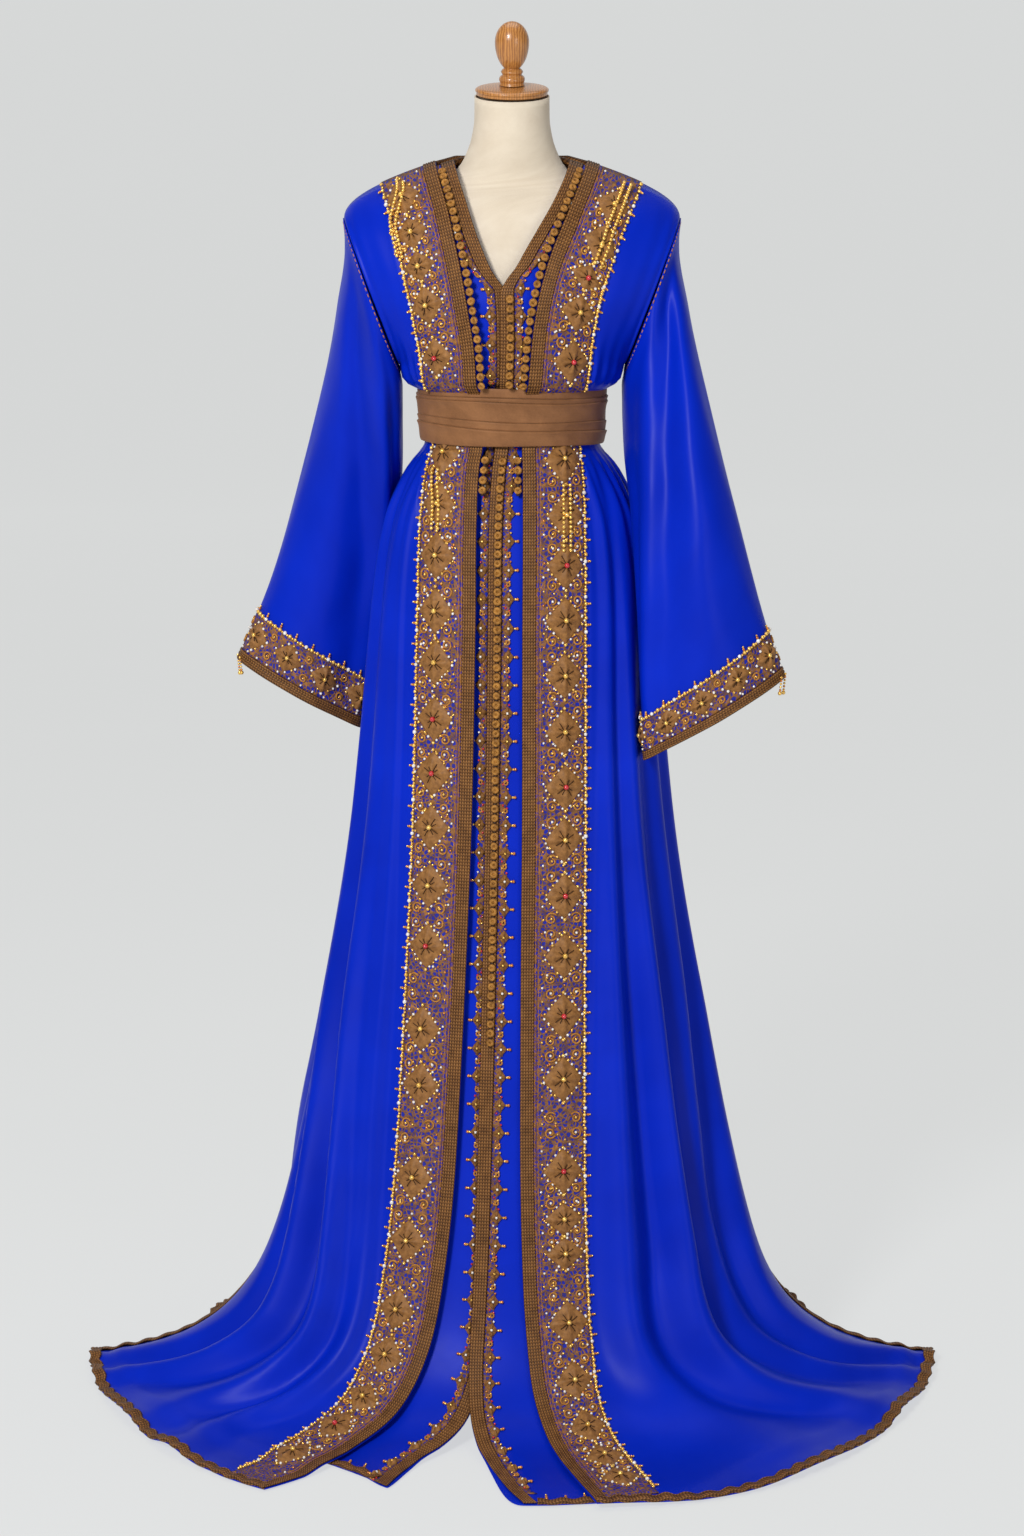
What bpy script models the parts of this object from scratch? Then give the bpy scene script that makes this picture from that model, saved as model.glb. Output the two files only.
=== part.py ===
"""A Moroccan kaftan of two layers with its belt, on a limbless dress form.

Metres, +Z up. The garment faces -Y, its train lies on z = 0 and the origin is under the stand.
Every cloth piece is an open sheet read from the tables below and thickened by a Solidify modifier.
A place on the body is given by its turn (degrees round from the front or the back centre, + to +X)
and its fall (metres down the cloth from the shoulder seam). A trim is made from the points of the
sheet it lies on, moved out along that sheet's normals.
"""

import math

import bmesh
import bpy
import numpy as np

# --- driving dimensions ---------------------------------------------------------------------------
CLOTH = 0.0020  # wall of the satin
BRAID = 0.0018  # thickness of the flat braids
LACE = 0.0012  # wall of the beaded lace
SASH = 0.0030  # wall of the pleated belt
GAP = 0.0003  # air between neighbouring pieces
HEM_GAP = 0.0013  # air under the trims of the curved hem
SEAM = 0.0004  # each edge stands this far back from its seam line
LAYER_DROP = 0.0060  # the under-dress lies this far inside the robe
LAP_DROP = 0.0122  # its left front laps under the right one
FLOOR_SETTLE = 0.0055  # the robe sinks by this where no under-dress lies below it
BRAID_WIDTH = 0.017
HEM_WIDTH = 0.014
SLIT_WIDTH = 0.011
SLIT_TOP = 1.07  # fall at which the side slits begin
UNDER_BRAID_WIDTH = 0.018
UNDER_LACE_WIDTH = 0.016
CUFF_BRAID_WIDTH = 0.014
CUFF_LACE_WIDTH = 0.052
KNOT_PITCH = 0.0117
KNOT_RADIUS = 0.0043
SHOULDER_FALL = 0.0001
SHOULDER_APART = 0.0013  # front and back stand this far from the plane of the shoulder seam
SHOULDER_FADE = 0.10
BELT_TOP, BELT_FOOT = 1.2925, 1.2215

# The armhole is a slanted oval ring, from the shoulder tip down to the underarm.
TIP_X, TIP_Z = 0.212, 1.503
UNDERARM_X, UNDERARM_Z = 0.140, 1.312
ARMHOLE_DEPTH = 0.070
NECK_POINT_Z = 1.571
ARMHOLE_FALL = 0.26
NECK_TURN_SPAN = 62.5  # degrees from the neck point round to the armhole
NECK_HALF_WIDTH, UNDER_NECK_HALF_WIDTH, NECK_BACK = 0.098, 0.076, 0.070
NECK_FADE = 0.12
TRAIN_PULL = 0.25  # share by which the back narrows at its hem, where it trails straight behind
TRAIN_FALLS = (1.20, 1.75)  # falls between which it narrows
NECK_BRAID_TURN = 26.0  # the braids round the back of the neck reach this far to each side

# --- tables ---------------------------------------------------------------------------------------
# Chest: share of the armhole depth, then the depth of the front and of the back at the centre.
CHEST = ("share front back", [
    (0.00, 0.000, 0.000),
    (0.04, 0.032, 0.030),
    (0.10, 0.056, 0.052),
    (0.18, 0.077, 0.070),
    (0.30, 0.098, 0.086),
    (0.50, 0.118, 0.096),
    (0.70, 0.127, 0.094),
    (0.85, 0.126, 0.089),
    (1.00, 0.121, 0.085),
])
# Below the armhole: height, half width and the two depths of the robe.
SKIRT = ("fall z side front back", [
    (0.272, 1.3000, 0.1370, 0.1190, 0.0870),
    (0.283, 1.2910, 0.1270, 0.1090, 0.0890),
    (0.292, 1.2850, 0.1140, 0.1020, 0.0900),
    (0.315, 1.2620, 0.1120, 0.0990, 0.0900),
    (0.355, 1.2220, 0.1100, 0.0980, 0.0920),
    (0.380, 1.1970, 0.1250, 0.1070, 0.1030),
    (0.415, 1.1610, 0.1430, 0.1190, 0.1180),
    (0.450, 1.1280, 0.1560, 0.1280, 0.1300),
    (0.515, 1.0620, 0.1700, 0.1420, 0.1470),
    (0.600, 0.9750, 0.1800, 0.1530, 0.1600),
    (0.720, 0.8550, 0.1900, 0.1660, 0.1740),
    (0.860, 0.7150, 0.2040, 0.1820, 0.1920),
    (1.000, 0.5750, 0.2215, 0.1990, 0.2100),
    (1.120, 0.4550, 0.2410, 0.2160, 0.2290),
    (1.240, 0.3360, 0.2640, 0.2360, 0.2510),
    (1.340, 0.2370, 0.2880, 0.2560, 0.2740),
    (1.420, 0.1600, 0.3160, 0.2760, 0.3000),
    (1.480, 0.1040, 0.3490, 0.2970, 0.3260),
    (1.530, 0.0630, 0.3880, 0.3230, 0.3520),
    (1.575, 0.0340, 0.4340, 0.3570, 0.3860),
    (1.620, 0.0165, 0.4820, 0.4000, 0.4200),
    (1.670, 0.0092, 0.5150, 0.4510, 0.4450),
    (1.720, 0.0085, 0.5410, 0.5060, 0.4680),
    (1.775, 0.0085, 0.5650, 0.5600, 0.4900),
    (1.830, 0.0085, 0.5860, 0.6120, 0.5120),
])
# Fall of the hem by turn.
HEM = ("turn fall", [
    (0.0, 1.780), (10.0, 1.785), (30.0, 1.802), (42.0, 1.790), (50.0, 1.778),
    (58.0, 1.763), (66.0, 1.754), (76.0, 1.756), (90.0, 1.766),
])
# Front edges: turn of each piece's inner edge by fall.
ROBE_EDGE = ("fall left right", [
    (0.000, -27.0, 26.5), (0.067, -22.7, 19.8), (0.130, -21.2, 14.2), (0.190, -20.4, 11.0),
    (0.256, -18.4, 8.7), (0.357, -18.9, 6.3), (0.450, -16.2, 4.9), (0.578, -14.6, 4.1),
    (0.800, -14.4, 3.6), (0.950, -14.8, 3.0), (1.100, -15.1, 2.5), (1.250, -15.3, 2.2),
    (1.400, -16.3, 2.6), (1.465, -16.9, 3.1), (1.525, -18.1, 3.7), (1.575, -19.6, 4.7),
    (1.620, -21.8, 5.8), (1.670, -24.2, 7.3), (1.720, -26.7, 8.7), (1.830, -32.6, 11.2),
])
UNDER_EDGE = ("fall left right", [
    (0.000, -20.6, 20.7), (0.046, -16.4, 15.0), (0.087, -13.4, 8.8), (0.110, -11.3, 5.1),
    (0.131, -8.9, 1.6), (0.146, -6.0, -2.2), (0.165, -1.6, -5.4), (0.200, -0.9, -5.6),
    (0.270, -0.9, -6.6), (0.300, -1.6, -8.2), (0.360, -3.6, -11.7), (0.450, -4.4, -10.9),
    (0.578, -4.6, -10.0), (1.000, -4.6, -9.8), (1.400, -4.6, -9.2), (1.480, -5.2, -8.8),
    (1.534, -6.5, -7.9), (1.562, -7.6, -7.1), (1.611, -10.6, -5.1), (1.649, -13.3, -3.3),
    (1.726, -15.9, -0.2), (1.765, -16.4, 1.4), (1.800, -16.8, 2.4),
])
# Hem of the under-dress by turn, - to the left.
UNDER_HEM = ("turn fall", [
    (-90.0, 1.655), (-35.0, 1.662), (-25.0, 1.682), (-20.0, 1.700), (-16.0, 1.728),
    (-8.0, 1.745), (1.0, 1.766), (10.0, 1.768), (20.0, 1.752), (32.0, 1.700), (90.0, 1.655),
])
# Outer edge of the sleeveless under-dress: its armhole, then the side seam.
UNDER_SIDE = ("fall turn", [
    (0.000, 54.0), (0.100, 56.0), (0.180, 61.0), (0.240, 74.0), (0.285, 89.0), (0.330, 89.8),
    (1.150, 89.8), (1.250, 89.1),
])
# Largest folds: turn at the waist and at the hem, half width in degrees, height at the knee of the
# cloth, falls where the fold starts and is highest, and its height at the hem.
FRONT_FOLDS = ("top hem width height start knee end", [
    (-50.0, -40.0, 6.5, 0.010, 0.50, 1.40, 0.002),
    (-63.0, -48.0, 7.5, 0.024, 0.45, 1.48, 0.003),
    (-78.0, -65.0, 7.5, 0.026, 0.50, 1.50, 0.004),
    (-86.0, -78.0, 6.0, 0.012, 0.60, 1.46, 0.002),
    (39.0, 34.0, 6.0, 0.012, 0.55, 1.46, 0.002),
    (52.0, 46.0, 7.0, 0.024, 0.42, 1.50, 0.004),
    (66.0, 61.0, 7.0, 0.024, 0.48, 1.50, 0.004),
    (80.0, 76.0, 6.5, 0.018, 0.60, 1.47, 0.003),
])
BACK_FOLDS = ("top hem width height start knee end", [
    (-74.0, -78.0, 8.0, 0.020, 0.50, 1.48, 0.003),
    (-52.0, -56.0, 8.0, 0.025, 0.42, 1.50, 0.004),
    (-30.0, -33.0, 8.0, 0.022, 0.46, 1.47, 0.003),
    (-8.0, -9.0, 8.5, 0.026, 0.40, 1.50, 0.004),
    (14.0, 16.0, 8.0, 0.021, 0.48, 1.46, 0.003),
    (35.0, 38.0, 8.0, 0.025, 0.43, 1.50, 0.004),
    (57.0, 61.0, 8.0, 0.022, 0.50, 1.48, 0.003),
    (77.0, 81.0, 7.0, 0.016, 0.56, 1.46, 0.002),
])
# Sleeves: share of the length, outer and inner edge of the flattened tube, its middle in y and its
# half depth. The left one hangs a little behind the skirt, the right one in front of it.
SLEEVE_LEFT = ("share outer_x outer_z inner_x inner_z mid_y depth", [
    (0.00, -0.2120, 1.5030, -0.1400, 1.3120, 0.000, 0.0700),
    (0.08, -0.2115, 1.4630, -0.1405, 1.2780, 0.004, 0.0690),
    (0.25, -0.2230, 1.3850, -0.1420, 1.2100, 0.026, 0.0620),
    (0.45, -0.2500, 1.2640, -0.1480, 1.1200, 0.066, 0.0560),
    (0.65, -0.2840, 1.1370, -0.1610, 1.0210, 0.088, 0.0530),
    (0.82, -0.3210, 1.0200, -0.1820, 0.9280, 0.092, 0.0500),
    (1.00, -0.3610, 0.9270, -0.2020, 0.8370, 0.090, 0.0460),
])
SLEEVE_RIGHT = ("share outer_x outer_z inner_x inner_z mid_y depth", [
    (0.00, 0.2120, 1.5030, 0.1400, 1.3120, 0.000, 0.0700),
    (0.08, 0.2110, 1.4630, 0.1410, 1.2780, -0.003, 0.0690),
    (0.25, 0.2230, 1.3850, 0.1440, 1.2100, -0.028, 0.0620),
    (0.45, 0.2490, 1.2640, 0.1530, 1.1200, -0.072, 0.0560),
    (0.65, 0.2810, 1.1370, 0.1590, 1.0000, -0.100, 0.0520),
    (0.82, 0.3130, 1.0200, 0.1630, 0.9060, -0.108, 0.0480),
    (1.00, 0.3430, 0.9310, 0.1690, 0.8280, -0.110, 0.0440),
])
# Long folds of a sleeve: angle round the tube at the armhole and at the cuff (0 is the outer edge,
# 90 the middle of the front), half width, and height.
SLEEVE_FOLDS = ("top cuff width height", [
    (52.0, 34.0, 15.0, 0.0070),
    (118.0, 92.0, 16.0, 0.0060),
    (235.0, 250.0, 17.0, 0.0060),
    (300.0, 310.0, 15.0, 0.0050),
])
# Dress form: rings from the hip up to the leaning neck.
FORM = ("z side front back middle lean", [
    (1.0000, 0.1310, 0.1080, 0.1120, 0.000, 0.000),
    (1.0600, 0.1360, 0.1120, 0.1180, 0.000, 0.000),
    (1.1280, 0.1220, 0.1010, 0.1050, 0.000, 0.000),
    (1.1800, 0.0990, 0.0870, 0.0830, 0.000, 0.000),
    (1.2150, 0.0890, 0.0780, 0.0740, 0.000, 0.000),
    (1.2550, 0.0880, 0.0780, 0.0710, 0.000, 0.000),
    (1.2880, 0.0930, 0.0830, 0.0710, 0.000, 0.000),
    (1.3300, 0.1150, 0.1020, 0.0750, 0.000, 0.000),
    (1.4000, 0.1400, 0.1040, 0.0810, 0.000, 0.000),
    (1.4500, 0.1550, 0.0950, 0.0800, 0.000, 0.000),
    (1.5000, 0.1620, 0.0760, 0.0680, 0.000, 0.000),
    (1.5300, 0.1480, 0.0560, 0.0560, 0.000, 0.000),
    (1.5420, 0.1130, 0.0420, 0.0440, 0.000, 0.020),
    (1.5520, 0.0840, 0.0400, 0.0440, 0.000, 0.040),
    (1.5610, 0.0700, 0.0410, 0.0440, -0.001, 0.060),
    (1.5710, 0.0620, 0.0430, 0.0450, -0.002, 0.080),
    (1.5830, 0.0560, 0.0450, 0.0460, -0.004, 0.110),
    (1.6000, 0.0500, 0.0460, 0.0460, -0.006, 0.140),
    (1.6270, 0.0458, 0.0452, 0.0452, -0.010, 0.176),
    (1.6540, 0.0455, 0.0452, 0.0452, -0.015, 0.176),
])
CAP_LEAN = math.radians(10.0)
CAP_CENTRE = (0.0, -0.0151, 1.6545)
POLE_RADIUS = 0.014
BASE_HEIGHT = 0.022
# Turned profiles run down their outer side: radius and height above the part's own foot.
CAP_PROFILE = ((0.0, 0.0130), (0.0300, 0.0120), (0.0430, 0.0105), (0.0462, 0.0085),
               (0.0462, 0.0060), (0.0448, 0.0050), (0.0448, 0.0006), (0.0, 0.0006))
COLLAR_PROFILE = ((0.0110, 0.0340), (0.0125, 0.0325), (0.0143, 0.0300), (0.0125, 0.0275),
                  (0.0120, 0.0262), (0.0155, 0.0240), (0.0165, 0.0200), (0.0148, 0.0165),
                  (0.0163, 0.0140), (0.0163, 0.0133), (0.0, 0.0133))
EGG_FOOT, EGG_TOP, EGG_RADIUS = 0.0340, 0.0925, 0.0215
BASE_PROFILE = ((0.0, 0.022), (0.020, 0.022), (0.030, 0.016), (0.120, 0.010), (0.148, 0.006),
                (0.150, 0.004), (0.150, 0.0), (0.0, 0.0))

# --- grid lines shared by the layers, so that facets of neighbouring sheets stay parallel ----------
ROWS = (SHOULDER_FALL, 0.017, 0.045, 0.085, 0.145, 0.215, 0.268, 0.290, 0.353, 0.385, 0.430,
        0.530, 0.740, SLIT_TOP, 1.240, 1.350, 1.430, 1.490, 1.540, 1.585, 1.630, 1.690)
BAND_COLUMNS = (0.0, BRAID_WIDTH, 0.050, 0.085)  # metres from the robe's front edge
PANEL_SHARES = (0.18, 0.36, 0.54, 0.72, 0.90)  # from the band to the side trim
BACK_TURNS = (-76.0, -64.0, -52.0, -41.0, -30.0, -20.0, -9.0, 0.0, 13.0, 24.5, 35.0, 46.0, 57.0,
              67.0, 77.0)
UNDER_SHARES = (0.45, 1.0)
UNDER_BACK_TURNS = (-88.5, -60.0, -40.0, -22.0, 0.0, 22.0, 40.0, 60.0, 88.5)
SLEEVE_SHARES = (0.0, 0.06, 0.18, 0.36, 0.54, 0.72)
SLEEVE_SIDES = 16
SLEEVE_LENGTH = 0.53  # armhole to cuff, along the middle of the tube
BELT_SIDES = 32
MOST_TRIM_TURN = 14.0  # degrees that the side trim may take

# --- colours: base colour, roughness, metallic -----------------------------------------------------
FINISHES = {
    "blue_satin": ((0.004, 0.022, 0.58), 0.42, 0.0),
    "bronze_braid": ((0.20, 0.095, 0.030), 0.55, 0.0),
    "bronze_lace": ((0.17, 0.085, 0.040), 0.60, 0.0),
    "knotted_cord": ((0.30, 0.14, 0.035), 0.60, 0.0),
    "brown_sash": ((0.21, 0.105, 0.055), 0.55, 0.0),
    "linen": ((0.80, 0.74, 0.62), 0.85, 0.0),
    "turned_wood": ((0.46, 0.20, 0.065), 0.35, 0.0),
    "steel": ((0.55, 0.55, 0.56), 0.35, 1.0),
}


# --- tables and curves -----------------------------------------------------------------------------
def columns(table):
    """A table's columns by name, as arrays."""
    names, rows = table
    return dict(zip(names.split(), np.array(rows, float).T))


def smooth(x, xs, ys):
    """A monotone cubic curve through the points (xs, ys), read at x."""
    x = np.clip(np.asarray(x, float), xs[0], xs[-1])
    step = np.diff(xs)
    slope = np.diff(ys) / step
    tangent = np.empty_like(ys)
    tangent[0], tangent[-1] = slope[0], slope[-1]
    before, after = slope[:-1], slope[1:]
    first, second = 2 * step[1:] + step[:-1], step[1:] + 2 * step[:-1]
    turning = before * after <= 0
    safe_before, safe_after = np.where(turning, 1.0, before), np.where(turning, 1.0, after)
    mean = (first + second) / (first / safe_before + second / safe_after)
    tangent[1:-1] = np.where(turning, 0.0, mean)
    k = np.clip(np.searchsorted(xs, x, side="right") - 1, 0, len(xs) - 2)
    t = (x - xs[k]) / step[k]
    return ((1 + 2 * t) * (1 - t) ** 2 * ys[k] + t * (1 - t) ** 2 * step[k] * tangent[k]
            + t * t * (3 - 2 * t) * ys[k + 1] + t * t * (t - 1) * step[k] * tangent[k + 1])


def ease(t):
    t = np.clip(t, 0.0, 1.0)
    return t * t * (3 - 2 * t)


def robe_stations():
    """Chest rows and skirt rows as one table of arrays."""
    chest, skirt = columns(CHEST), columns(SKIRT)
    around = (1 - np.cos(np.pi * chest["share"])) / 2
    zero = np.zeros_like(skirt["fall"])
    neck_z = NECK_POINT_Z + (UNDERARM_Z - NECK_POINT_Z) * chest["share"]
    return {
        "fall": np.concatenate([ARMHOLE_FALL * chest["share"], skirt["fall"]]),
        "z_neck": np.concatenate([neck_z, skirt["z"]]),
        "z_side": np.concatenate([TIP_Z + (UNDERARM_Z - TIP_Z) * around, skirt["z"]]),
        "side": np.concatenate([TIP_X + (UNDERARM_X - TIP_X) * around, skirt["side"]]),
        "edge": np.concatenate([ARMHOLE_DEPTH * np.sin(np.pi * chest["share"]), zero]),
        "front": np.concatenate([chest["front"], skirt["front"]]),
        "back": np.concatenate([chest["back"], skirt["back"]]),
    }


STATIONS = robe_stations()


# --- the body surface ------------------------------------------------------------------------------
def body(turn, fall, rear, neck=NECK_HALF_WIDTH):
    """Point of the robe without folds. Turn runs from -90 to 90 on the front and on the back."""
    turn, fall = np.broadcast_arrays(np.asarray(turn, float), np.asarray(fall, float))
    at = {name: smooth(fall, STATIONS["fall"], STATIONS[name]) for name in STATIONS}
    angle = np.radians(turn)
    depth = at["back"] if rear else at["front"]
    x = at["side"] * np.sin(angle)
    y = np.sqrt(np.maximum(at["edge"] ** 2 + (depth**2 - at["edge"] ** 2) * np.cos(angle) ** 2, 0))
    if rear:
        x = x * (1 - TRAIN_PULL * ease((fall - TRAIN_FALLS[0]) / (TRAIN_FALLS[1] - TRAIN_FALLS[0])))
        hollow = np.maximum(1 - (x / neck) ** 2, 0)
        y = np.hypot(y, NECK_BACK * hollow * np.clip(1 - fall / NECK_FADE, 0, 1))
    rise = np.minimum((90 - np.abs(turn)) / NECK_TURN_SPAN, 1.13)
    z = at["z_side"] + (at["z_neck"] - at["z_side"]) * rise
    return np.stack([x, y if rear else -y, z], -1)


def tangents(turn, fall, rear, neck=NECK_HALF_WIDTH):
    """Change of the body point for each degree of turn and for each metre of fall."""
    low, high = np.maximum(turn - 0.5, -90), np.minimum(turn + 0.5, 90)
    over, below = np.maximum(fall - 0.004, 0.0), fall + 0.004
    across = body(high, fall, rear, neck) - body(low, fall, rear, neck)
    down = body(turn, below, rear, neck) - body(turn, over, rear, neck)
    return across / (high - low)[..., None], down / (below - over)[..., None]


def outward(turn, fall, rear, neck=NECK_HALF_WIDTH):
    across, down = tangents(turn, fall, rear, neck)
    normal = np.cross(across, down) if rear else np.cross(down, across)
    return normal / np.linalg.norm(normal, axis=-1, keepdims=True)


def parted(point, turn, fall, rear, neck, drop):
    """Keeps a sheet on its own side of the shoulder seam."""
    top = body(turn, np.zeros_like(fall), rear, neck)
    on_seam = 1.0 if not rear else 1 - np.clip(3 * (1 - (top[..., 0] / neck) ** 2), 0, 1)
    lean = np.abs(outward(turn, np.zeros_like(fall) + 0.002, rear, neck)[..., 1])
    shift = (SHOULDER_APART + drop * lean) * on_seam * (1 - ease(fall / SHOULDER_FADE))
    point[..., 1] += shift if rear else -shift
    return point


def fold_height(table, turn, fall):
    total = np.zeros_like(turn)
    folds = columns(table)
    for k in range(len(folds["top"])):
        path = folds["top"][k] + (folds["hem"][k] - folds["top"][k]) * ease((fall - 0.40) / 1.05)
        grow = ease((fall - folds["start"][k]) / (folds["knee"][k] - folds["start"][k]))
        fade = ease((fall - folds["knee"][k]) / 0.22)
        height = folds["height"][k] * grow
        height = height + (folds["end"][k] - height) * fade
        total = total + height * np.exp(-(((turn - path) / folds["width"][k]) ** 2) * 1.4)
    return total


def robe(turn, fall, rear):
    """Point of the robe's sheet, with its folds, settled on the floor past the under-dress."""
    turn, fall = np.broadcast_arrays(np.asarray(turn, float), np.asarray(fall, float))
    point = body(turn, fall, rear)
    folds = fold_height(BACK_FOLDS if rear else FRONT_FOLDS, turn, fall)
    clear = columns(UNDER_HEM)
    under_hem = 1.655 if rear else smooth(turn, clear["turn"], clear["fall"])
    settle = FLOOR_SETTLE * ease((fall - under_hem - 0.015) / 0.045)
    point = point + outward(turn, fall, rear) * folds[..., None]
    point[..., 2] -= settle
    return parted(point, turn, fall, rear, NECK_HALF_WIDTH, 0.0)


def under(turn, fall, rear, drop=LAYER_DROP):
    """Point of the under-dress, inside the robe; on the floor both fronts lie at one level."""
    turn, fall = np.broadcast_arrays(np.asarray(turn, float), np.asarray(fall, float))
    lapped = ease((fall - 0.115) / 0.05) * (1 - ease((fall - 1.56) / 0.08))
    level = LAYER_DROP + (drop - LAYER_DROP) * lapped
    neck = UNDER_NECK_HALF_WIDTH
    point = body(turn, fall, rear, neck) - outward(turn, fall, rear, neck) * level[..., None]
    return parted(point, turn, fall, rear, neck, LAYER_DROP)


# --- sheets as grids of points ---------------------------------------------------------------------
def edge_frame(table, side, fall):
    """Turn of a front edge, and the change of turn and fall for each metre into the panel."""
    edge = columns(table)
    turn = smooth(fall, edge["fall"], edge[side])
    slope = (smooth(fall + 0.004, edge["fall"], edge[side])
             - smooth(fall - 0.004, edge["fall"], edge[side])) / 0.008
    across, down = tangents(turn, fall, False)
    along = across * slope[..., None] + down
    square = (along * along).sum(-1)
    lean = (along * across).sum(-1) / square
    inward = across - along * lean[..., None]
    length = np.linalg.norm(inward, axis=-1)
    sign = -1.0 if side == "left" else 1.0
    return turn, sign * (1 - lean * slope) / length, sign * (-lean) / length


def front_places(side, across_list, shares, rows, hem):
    """Turn and fall at each grid point of a robe front, from its edge to the side seam."""
    sign = -1.0 if side == "left" else 1.0
    falls = np.array(rows)
    turn_0, per_turn, per_fall = edge_frame(ROBE_EDGE, side, falls)
    keep = np.maximum(1 - ease((falls - 0.10) / 0.10), ease((falls - 1.20) / 0.20))
    keep = keep * (1 - ease((falls - hem + 0.05) / 0.05))
    per_fall = per_fall * keep
    side_turn = sign * (90 - seam_turn(falls))
    side_fall = np.minimum(falls, hem_fall(90.0) - (hem - falls))
    side_fall = falls + (side_fall - falls) * ease((falls - 1.2) / (hem - 1.2))
    trim = trim_turn(side_turn, side_fall, False)
    places = []
    for across in across_list:
        places.append((turn_0 + per_turn * across, falls + per_fall * across))
    band_turn, band_fall = places[-1]
    last_turn = side_turn - sign * trim
    for share in list(shares) + [1.0]:
        places.append((band_turn + (last_turn - band_turn) * share,
                       band_fall + (side_fall - band_fall) * share))
    places.append((side_turn, side_fall))
    turn = np.array([place[0] for place in places]).T
    fall = np.array([place[1] for place in places]).T
    return turn, fall


def trim_turn(turn, fall, rear):
    """Degrees that the trim takes at a panel's side."""
    across = np.linalg.norm(tangents(turn, fall, rear)[0], axis=-1)
    return np.minimum(SLIT_WIDTH / np.maximum(across, 1e-6), MOST_TRIM_TURN)


def seam_turn(fall):
    """Degrees that keep a side edge back from its seam line."""
    depth = smooth(fall, STATIONS["fall"], STATIONS["front"])
    return np.degrees(SEAM / np.maximum(depth, 0.02))


def hem_fall(turn):
    hem = columns(HEM)
    return smooth(np.abs(turn), hem["turn"], hem["fall"])


def robe_rows(hem):
    """The shared rows, then the rows of the hem trim."""
    return ROWS + (hem - HEM_WIDTH, hem)


def robe_front(side):
    corner = 31.0 if side == "left" else 10.6
    hem = float(hem_fall(corner))
    turn, fall = front_places(side, BAND_COLUMNS, PANEL_SHARES, robe_rows(hem), hem)
    for row, back_from_hem in ((-1, 0.0), (-2, HEM_WIDTH)):
        fall[row] = hem_fall(turn[row]) - back_from_hem
    return robe(turn, fall, False)


def robe_back():
    falls = np.array(robe_rows(float(hem_fall(0.0))))
    seam = seam_turn(falls)
    trim = trim_turn(90.0 - seam, falls, True)
    outer = 90.0 - seam
    inner = outer - trim
    spread = inner / (BACK_TURNS[-1] + 9.0)
    turn = np.array([-outer, -inner] + [turn * spread for turn in BACK_TURNS] + [inner, outer]).T
    fall = np.repeat(falls[:, None], turn.shape[1], axis=1)
    for row, back_from_hem in ((-1, 0.0), (-2, HEM_WIDTH)):
        fall[row] = hem_fall(turn[row]) - back_from_hem
    return robe(turn, fall, True)


def under_hem_fall(turn):
    hem = columns(UNDER_HEM)
    return smooth(turn, hem["turn"], hem["fall"])


def under_rows():
    return tuple(row for row in ROWS if row < 1.60) + (1.60, 1.64)


def under_front(side):
    """Grid of an under-dress front: edge, braid, lace, then on to its armhole and side seam."""
    sign = -1.0 if side == "left" else 1.0
    rows = np.array(under_rows() + (1.68, 1.72))
    edge = columns(UNDER_EDGE)
    outer = columns(UNDER_SIDE)
    turn_0, per_turn, per_fall = edge_frame(UNDER_EDGE, side, rows)
    keep = ease((rows - 0.17) / 0.05) * (1 - ease((rows - 1.60) / 0.10))
    per_fall = per_fall * keep
    side_turn = sign * smooth(rows, outer["fall"], outer["turn"])
    offsets = (0.0, UNDER_BRAID_WIDTH, UNDER_BRAID_WIDTH + UNDER_LACE_WIDTH)
    turns = [turn_0 + per_turn * offset for offset in offsets]
    falls = [rows + per_fall * offset for offset in offsets]
    for share in UNDER_SHARES:
        turns.append(turns[2] + (side_turn - turns[2]) * share)
        falls.append(falls[2] + (rows - falls[2]) * share)
    turn, fall = np.array(turns).T, np.array(falls).T
    hem_turn = turn[-1]
    corner = smooth(1.765, edge["fall"], edge[side]) - smooth(1.72, edge["fall"], edge[side])
    for back_from_hem in (HEM_WIDTH, 0.0):
        hem_turn = hem_turn + corner * np.array([1.0, 1.0, 1.0, 0.4, 0.0]) / 2
        turn = np.vstack([turn, hem_turn])
        fall = np.vstack([fall, under_hem_fall(hem_turn) - back_from_hem])
    limit = under_hem_fall(turn) - HEM_WIDTH
    for row, share in ((-4, 0.34), (-3, 0.67)):
        fall[row] = fall[-5] + (limit[-2] - fall[-5]) * share
    return under(turn, fall, False, LAP_DROP if side == "left" else LAYER_DROP)


def under_back():
    rows = np.array([row for row in ROWS if row < 1.60] + [1.655])
    outer = columns(UNDER_SIDE)
    reach = smooth(rows, outer["fall"], outer["turn"]) / 90.0
    turn = np.array(UNDER_BACK_TURNS)[None, :] * reach[:, None]
    fall = np.repeat(rows[:, None], turn.shape[1], axis=1)
    return under(turn, fall, True)


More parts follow.
